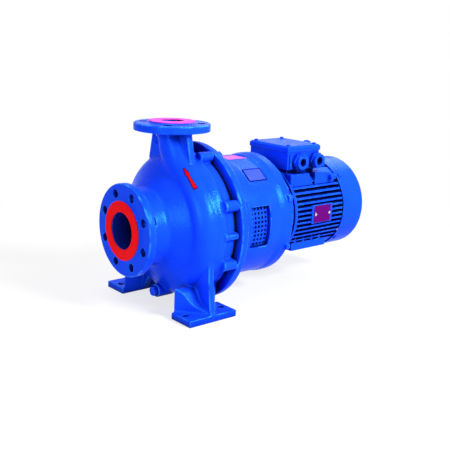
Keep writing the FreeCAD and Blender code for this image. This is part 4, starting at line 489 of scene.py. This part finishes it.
def soften(mesh, rounds, machined):
    """Fills the inner corners like foundry fillets and eases the outer edges a little."""
    count = len(mesh.vertices)
    places = np.empty(count * 3)
    mesh.vertices.foreach_get("co", places)
    places = places.reshape(-1, 3)
    normals = np.empty(count * 3)
    mesh.vertex_normals.foreach_get("vector", normals)
    normals = normals.reshape(-1, 3)
    edges = np.empty(len(mesh.edges) * 2, dtype=np.int64)
    mesh.edges.foreach_get("vertices", edges)
    first, second = edges.reshape(-1, 2).T
    links = np.bincount(first, minlength=count) + np.bincount(second, minlength=count)
    free = ~machined(places)
    for _ in range(rounds):
        mean = np.empty_like(places)
        for axis in range(3):
            total = np.bincount(first, places[second, axis], count)
            total += np.bincount(second, places[first, axis], count)
            mean[:, axis] = total / links
        step = mean - places
        hollow = (step * normals).sum(axis=1) > 0
        share = np.where(hollow, FILLET_SHARE, EDGE_SHARE) * free
        places += step * share[:, None]
    places = np.clip(places, cad_low, cad_high)
    mesh.vertices.foreach_set("co", places.ravel())
    mesh.update()


def nothing_machined(places):
    return np.zeros(len(places), dtype=bool)


def cast_piece(node, voxel, rounds, finish, machined=nothing_machined, extras=None):
    """Replaces a node with a copy that has the soft inner corners of a casting."""
    mesh = nodes[node].data.copy()
    if extras:
        shape = bmesh.new()
        shape.from_mesh(mesh)
        extras(shape)
        shape.to_mesh(mesh)
        shape.free()
    piece = bpy.data.objects.new(node + "_cast", mesh)
    scene.collection.objects.link(piece)
    remesh = piece.modifiers.new("skin", "REMESH")
    remesh.mode = "VOXEL"
    remesh.voxel_size = voxel * MM
    remesh.use_smooth_shade = True
    bpy.context.view_layer.update()
    shown = piece.evaluated_get(bpy.context.evaluated_depsgraph_get())
    mesh = bpy.data.meshes.new_from_object(shown)
    piece.modifiers.clear()
    piece.data = mesh
    soften(mesh, rounds, machined)
    mesh.materials.clear()
    mesh.materials.append(finish)
    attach(piece, "pump")
    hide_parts(node)
    return piece


def machined_casing(places):
    """Flanges and feet, whose edges are cut and stay crisp."""
    inlet = places[:, 0] < cad_low[0] + FLANGE_THICKNESS * MM
    outlet = places[:, 2] > cad_high[2] - FLANGE_THICKNESS * MM
    feet = places[:, 2] < FOOT_THICKNESS * MM
    return inlet | outlet | feet


def side_lugs(shape):
    """Round lugs on both sides of the casing, along the shaft."""
    reach = LUG_PLACE * MM
    for side in (-1, 1):
        middle = Vector(((LUG_END - LUG_LENGTH / 2) * MM, side * reach, SHAFT_HEIGHT * MM))
        turn = Matrix.Rotation(math.pi / 2, 4, "Y")
        bmesh.ops.create_cone(shape, cap_ends=True, segments=LUG_SIDES,
                              radius1=LUG_RADIUS * MM, radius2=LUG_RADIUS * MM,
                              depth=LUG_LENGTH * MM, matrix=Matrix.Translation(middle) @ turn)


# Label: a bare coloured film on the top flat of the lantern.

def add_label(finish):
    low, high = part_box("top_label")
    end = low[0] + LABEL_LENGTH * MM
    shape = bmesh.new()
    corners = []
    for middle_x, middle_y, start in ((end, high[1], 0), (low[0], high[1], 1),
                                      (low[0], low[1], 2), (end, low[1], 3)):
        inward_x = LABEL_CORNER * MM * (-1 if start in (0, 3) else 1)
        inward_y = LABEL_CORNER * MM * (-1 if start in (0, 1) else 1)
        for step in range(LABEL_CORNER_STEPS + 1):
            angle = math.pi / 2 * (start + step / LABEL_CORNER_STEPS)
            corners.append(shape.verts.new((
                middle_x + inward_x + LABEL_CORNER * MM * math.cos(angle),
                middle_y + inward_y + LABEL_CORNER * MM * math.sin(angle), low[2])))
    face = shape.faces.new(corners)
    raised = bmesh.ops.extrude_face_region(shape, geom=[face])["geom"]
    moved = [item for item in raised if isinstance(item, bmesh.types.BMVert)]
    bmesh.ops.translate(shape, verts=moved, vec=(0, 0, high[2] - low[2]))
    bmesh.ops.recalc_face_normals(shape, faces=shape.faces)
    mesh = bpy.data.meshes.new("label_film")
    shape.to_mesh(mesh)
    shape.free()
    mesh.materials.append(finish)
    label = bpy.data.objects.new("label_film", mesh)
    scene.collection.objects.link(label)
    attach(label, "pump")
    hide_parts("top_label")


# Plate edges: a fine bead along the border of a plate's outer face. On the pump plate the bead
# is dark, a painted shadow along the plate's edge.

PUMP_PLATE_BEAD = 2.4
MOTOR_PLATE_BEAD = 1.2
WELD_DISTANCE = 0.01
FACING = 0.9
BEAD_ROUNDNESS = 2


def outer_border(mesh, outward):
    """Closed border of the faces that look the given way, as a chain of points."""
    shape = bmesh.new()
    shape.from_mesh(mesh)
    bmesh.ops.remove_doubles(shape, verts=shape.verts, dist=WELD_DISTANCE * MM)
    shape.normal_update()
    shown = {face for face in shape.faces if face.normal.dot(outward(face)) > FACING}
    border = [edge for edge in shape.edges
              if sum(1 for face in edge.link_faces if face in shown) == 1]
    chains = []
    left = set(border)
    while left:
        edge = min(left, key=lambda item: item.index)
        left.discard(edge)
        chain = [edge.verts[0], edge.verts[1]]
        while True:
            ahead = [item for item in chain[-1].link_edges if item in left]
            if not ahead:
                break
            left.discard(ahead[0])
            chain.append(ahead[0].other_vert(chain[-1]))
        chains.append([vertex.co.copy() for vertex in chain])
    shape.free()
    return max(chains, key=chain_length)


def chain_length(points):
    return sum((second - first).length for first, second in zip(points, points[1:]))


def add_bead(node, outward, thickness, finish):
    points = outer_border(nodes[node].data, outward)
    if (points[0] - points[-1]).length < 2 * WELD_DISTANCE * MM:
        points.pop()
    curve = bpy.data.curves.new(node + "_bead", "CURVE")
    curve.dimensions = "3D"
    curve.bevel_depth = thickness / 2 * MM
    curve.bevel_resolution = BEAD_ROUNDNESS
    line = curve.splines.new("POLY")
    line.points.add(len(points) - 1)
    for spot, point in zip(line.points, points):
        spot.co = (*point, 1)
    line.use_cyclic_u = True
    curve.materials.append(finish)
    bead = bpy.data.objects.new(node + "_bead", curve)
    scene.collection.objects.link(bead)
    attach(bead, "pump")


def away_from_shaft(face):
    middle = face.calc_center_median()
    return Vector((0, middle.y, middle.z - SHAFT_HEIGHT * MM)).normalized()


def towards_near_side(face):
    return Vector((0, -1, 0))


# Rotation arrow: a raised red arrow on a dark bed that is a painted shadow around it, on the
# casing where the photograph has it.
# Its tail and tip are pixels of the photograph, and its other sizes are millimetres.

ARROW_TAIL = (195.5, 188.5)
ARROW_TIP = (184.0, 168.5)
ARROW_WIDTH = 7.5
ARROW_NECK_SHARE = 0.5
ARROW_HEAD_WIDTH = 9.5
ARROW_HEAD_SHARE = 0.34
ARROW_RISE = 1.6
ARROW_SHADOW_RISE = 0.8
ARROW_SHADOW_RIM = 1.3
ARROW_TIP_WIDTH = 0.3
ARROW_STEPS = 28
ARROW_SEARCH = 20
IMAGE_SIDE = 450


def sight_line(pixel):
    """Ray from the camera through a pixel of the photograph."""
    focal = CAMERA_LENS / CAMERA_SENSOR * IMAGE_SIDE
    turn = scene.camera.matrix_world.to_3x3()
    middle = IMAGE_SIDE / 2
    return (turn @ Vector((pixel[0] - middle, middle - pixel[1], -focal))).normalized()


def skin_of(piece):
    return BVHTree.FromPolygons([vertex.co for vertex in piece.data.vertices],
                                [face.vertices for face in piece.data.polygons])


def half_width(share):
    """Half of the arrow's width at a share of its length, measured from the tip."""
    if share < ARROW_HEAD_SHARE:
        return ARROW_HEAD_WIDTH / 2 * share / ARROW_HEAD_SHARE
    along_stem = (share - ARROW_HEAD_SHARE) / (1 - ARROW_HEAD_SHARE)
    return ARROW_WIDTH / 2 * (ARROW_NECK_SHARE + (1 - ARROW_NECK_SHARE) * along_stem)


def add_arrow(name, skin, finish, rise, rim):
    """An arrow that follows the skin under it, with its outline moved out by the rim."""
    ends = [skin.ray_cast(CAMERA_PLACE, sight_line(pixel)) for pixel in (ARROW_TIP, ARROW_TAIL)]
    tip, tail = ends[0][0], ends[1][0]
    outward = (ends[0][1] + ends[1][1]).normalized()
    along = tail - tip
    aside = outward.cross(along).normalized()
    shape = bmesh.new()
    rows = []
    for step in range(ARROW_STEPS + 1):
        share = step / ARROW_STEPS
        width = (max(half_width(share), ARROW_TIP_WIDTH) + rim) * MM
        row = []
        for side, lift in ((-1, -1), (-1, 1), (0, 1), (1, 1), (1, -1)):
            reach = share + (2 * share - 1) * rim * MM / along.length
            above = tip + along * reach + aside * side * width + outward * ARROW_SEARCH * MM
            below = skin.ray_cast(above, -outward)[0]
            row.append(shape.verts.new(below + outward * rise * lift * MM))
        rows.append(row)
    for first, second in zip(rows, rows[1:]):
        for index in range(len(first)):
            other = (index + 1) % len(first)
            shape.faces.new((first[index], first[other], second[other], second[index]))
    shape.faces.new(rows[0])
    shape.faces.new(reversed(rows[-1]))
    bmesh.ops.recalc_face_normals(shape, faces=shape.faces)
    mesh = bpy.data.meshes.new(name)
    shape.to_mesh(mesh)
    shape.free()
    mesh.materials.append(finish)
    arrow = bpy.data.objects.new(name, mesh)
    scene.collection.objects.link(arrow)
    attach(arrow, "pump")


place_camera()
light_the_scene()
lay_floor()
finishes = make_finishes()
dress_nodes(finishes)
casing = cast_piece("volute_casing", 2.0, 8, finishes["blue_cast"], machined_casing, side_lugs)
skin = skin_of(casing)
add_arrow("rotation_arrow", skin, finishes["arrow_red"], ARROW_RISE, 0)
# The dark bed: a larger, lower dark copy of the arrow, painted shadow around it.
add_arrow("arrow_painted_shadow", skin, finishes["painted_edge_shadow"], ARROW_SHADOW_RISE,
          ARROW_SHADOW_RIM)
# Dark bead round the pump plate: painted shadow along its edge.
add_bead("pump_nameplate", away_from_shaft, PUMP_PLATE_BEAD, finishes["painted_edge_shadow"])
add_bead("motor_nameplate", towards_near_side, MOTOR_PLATE_BEAD, finishes["plate_magenta"])
cast_piece("lantern", 2.0, 3, finishes["blue_cast"])
cast_piece("drive_end_shield", 1.5, 3, finishes["blue_cast"])
add_label(finishes["label_pink"])

scene.view_settings.view_transform = "Standard"
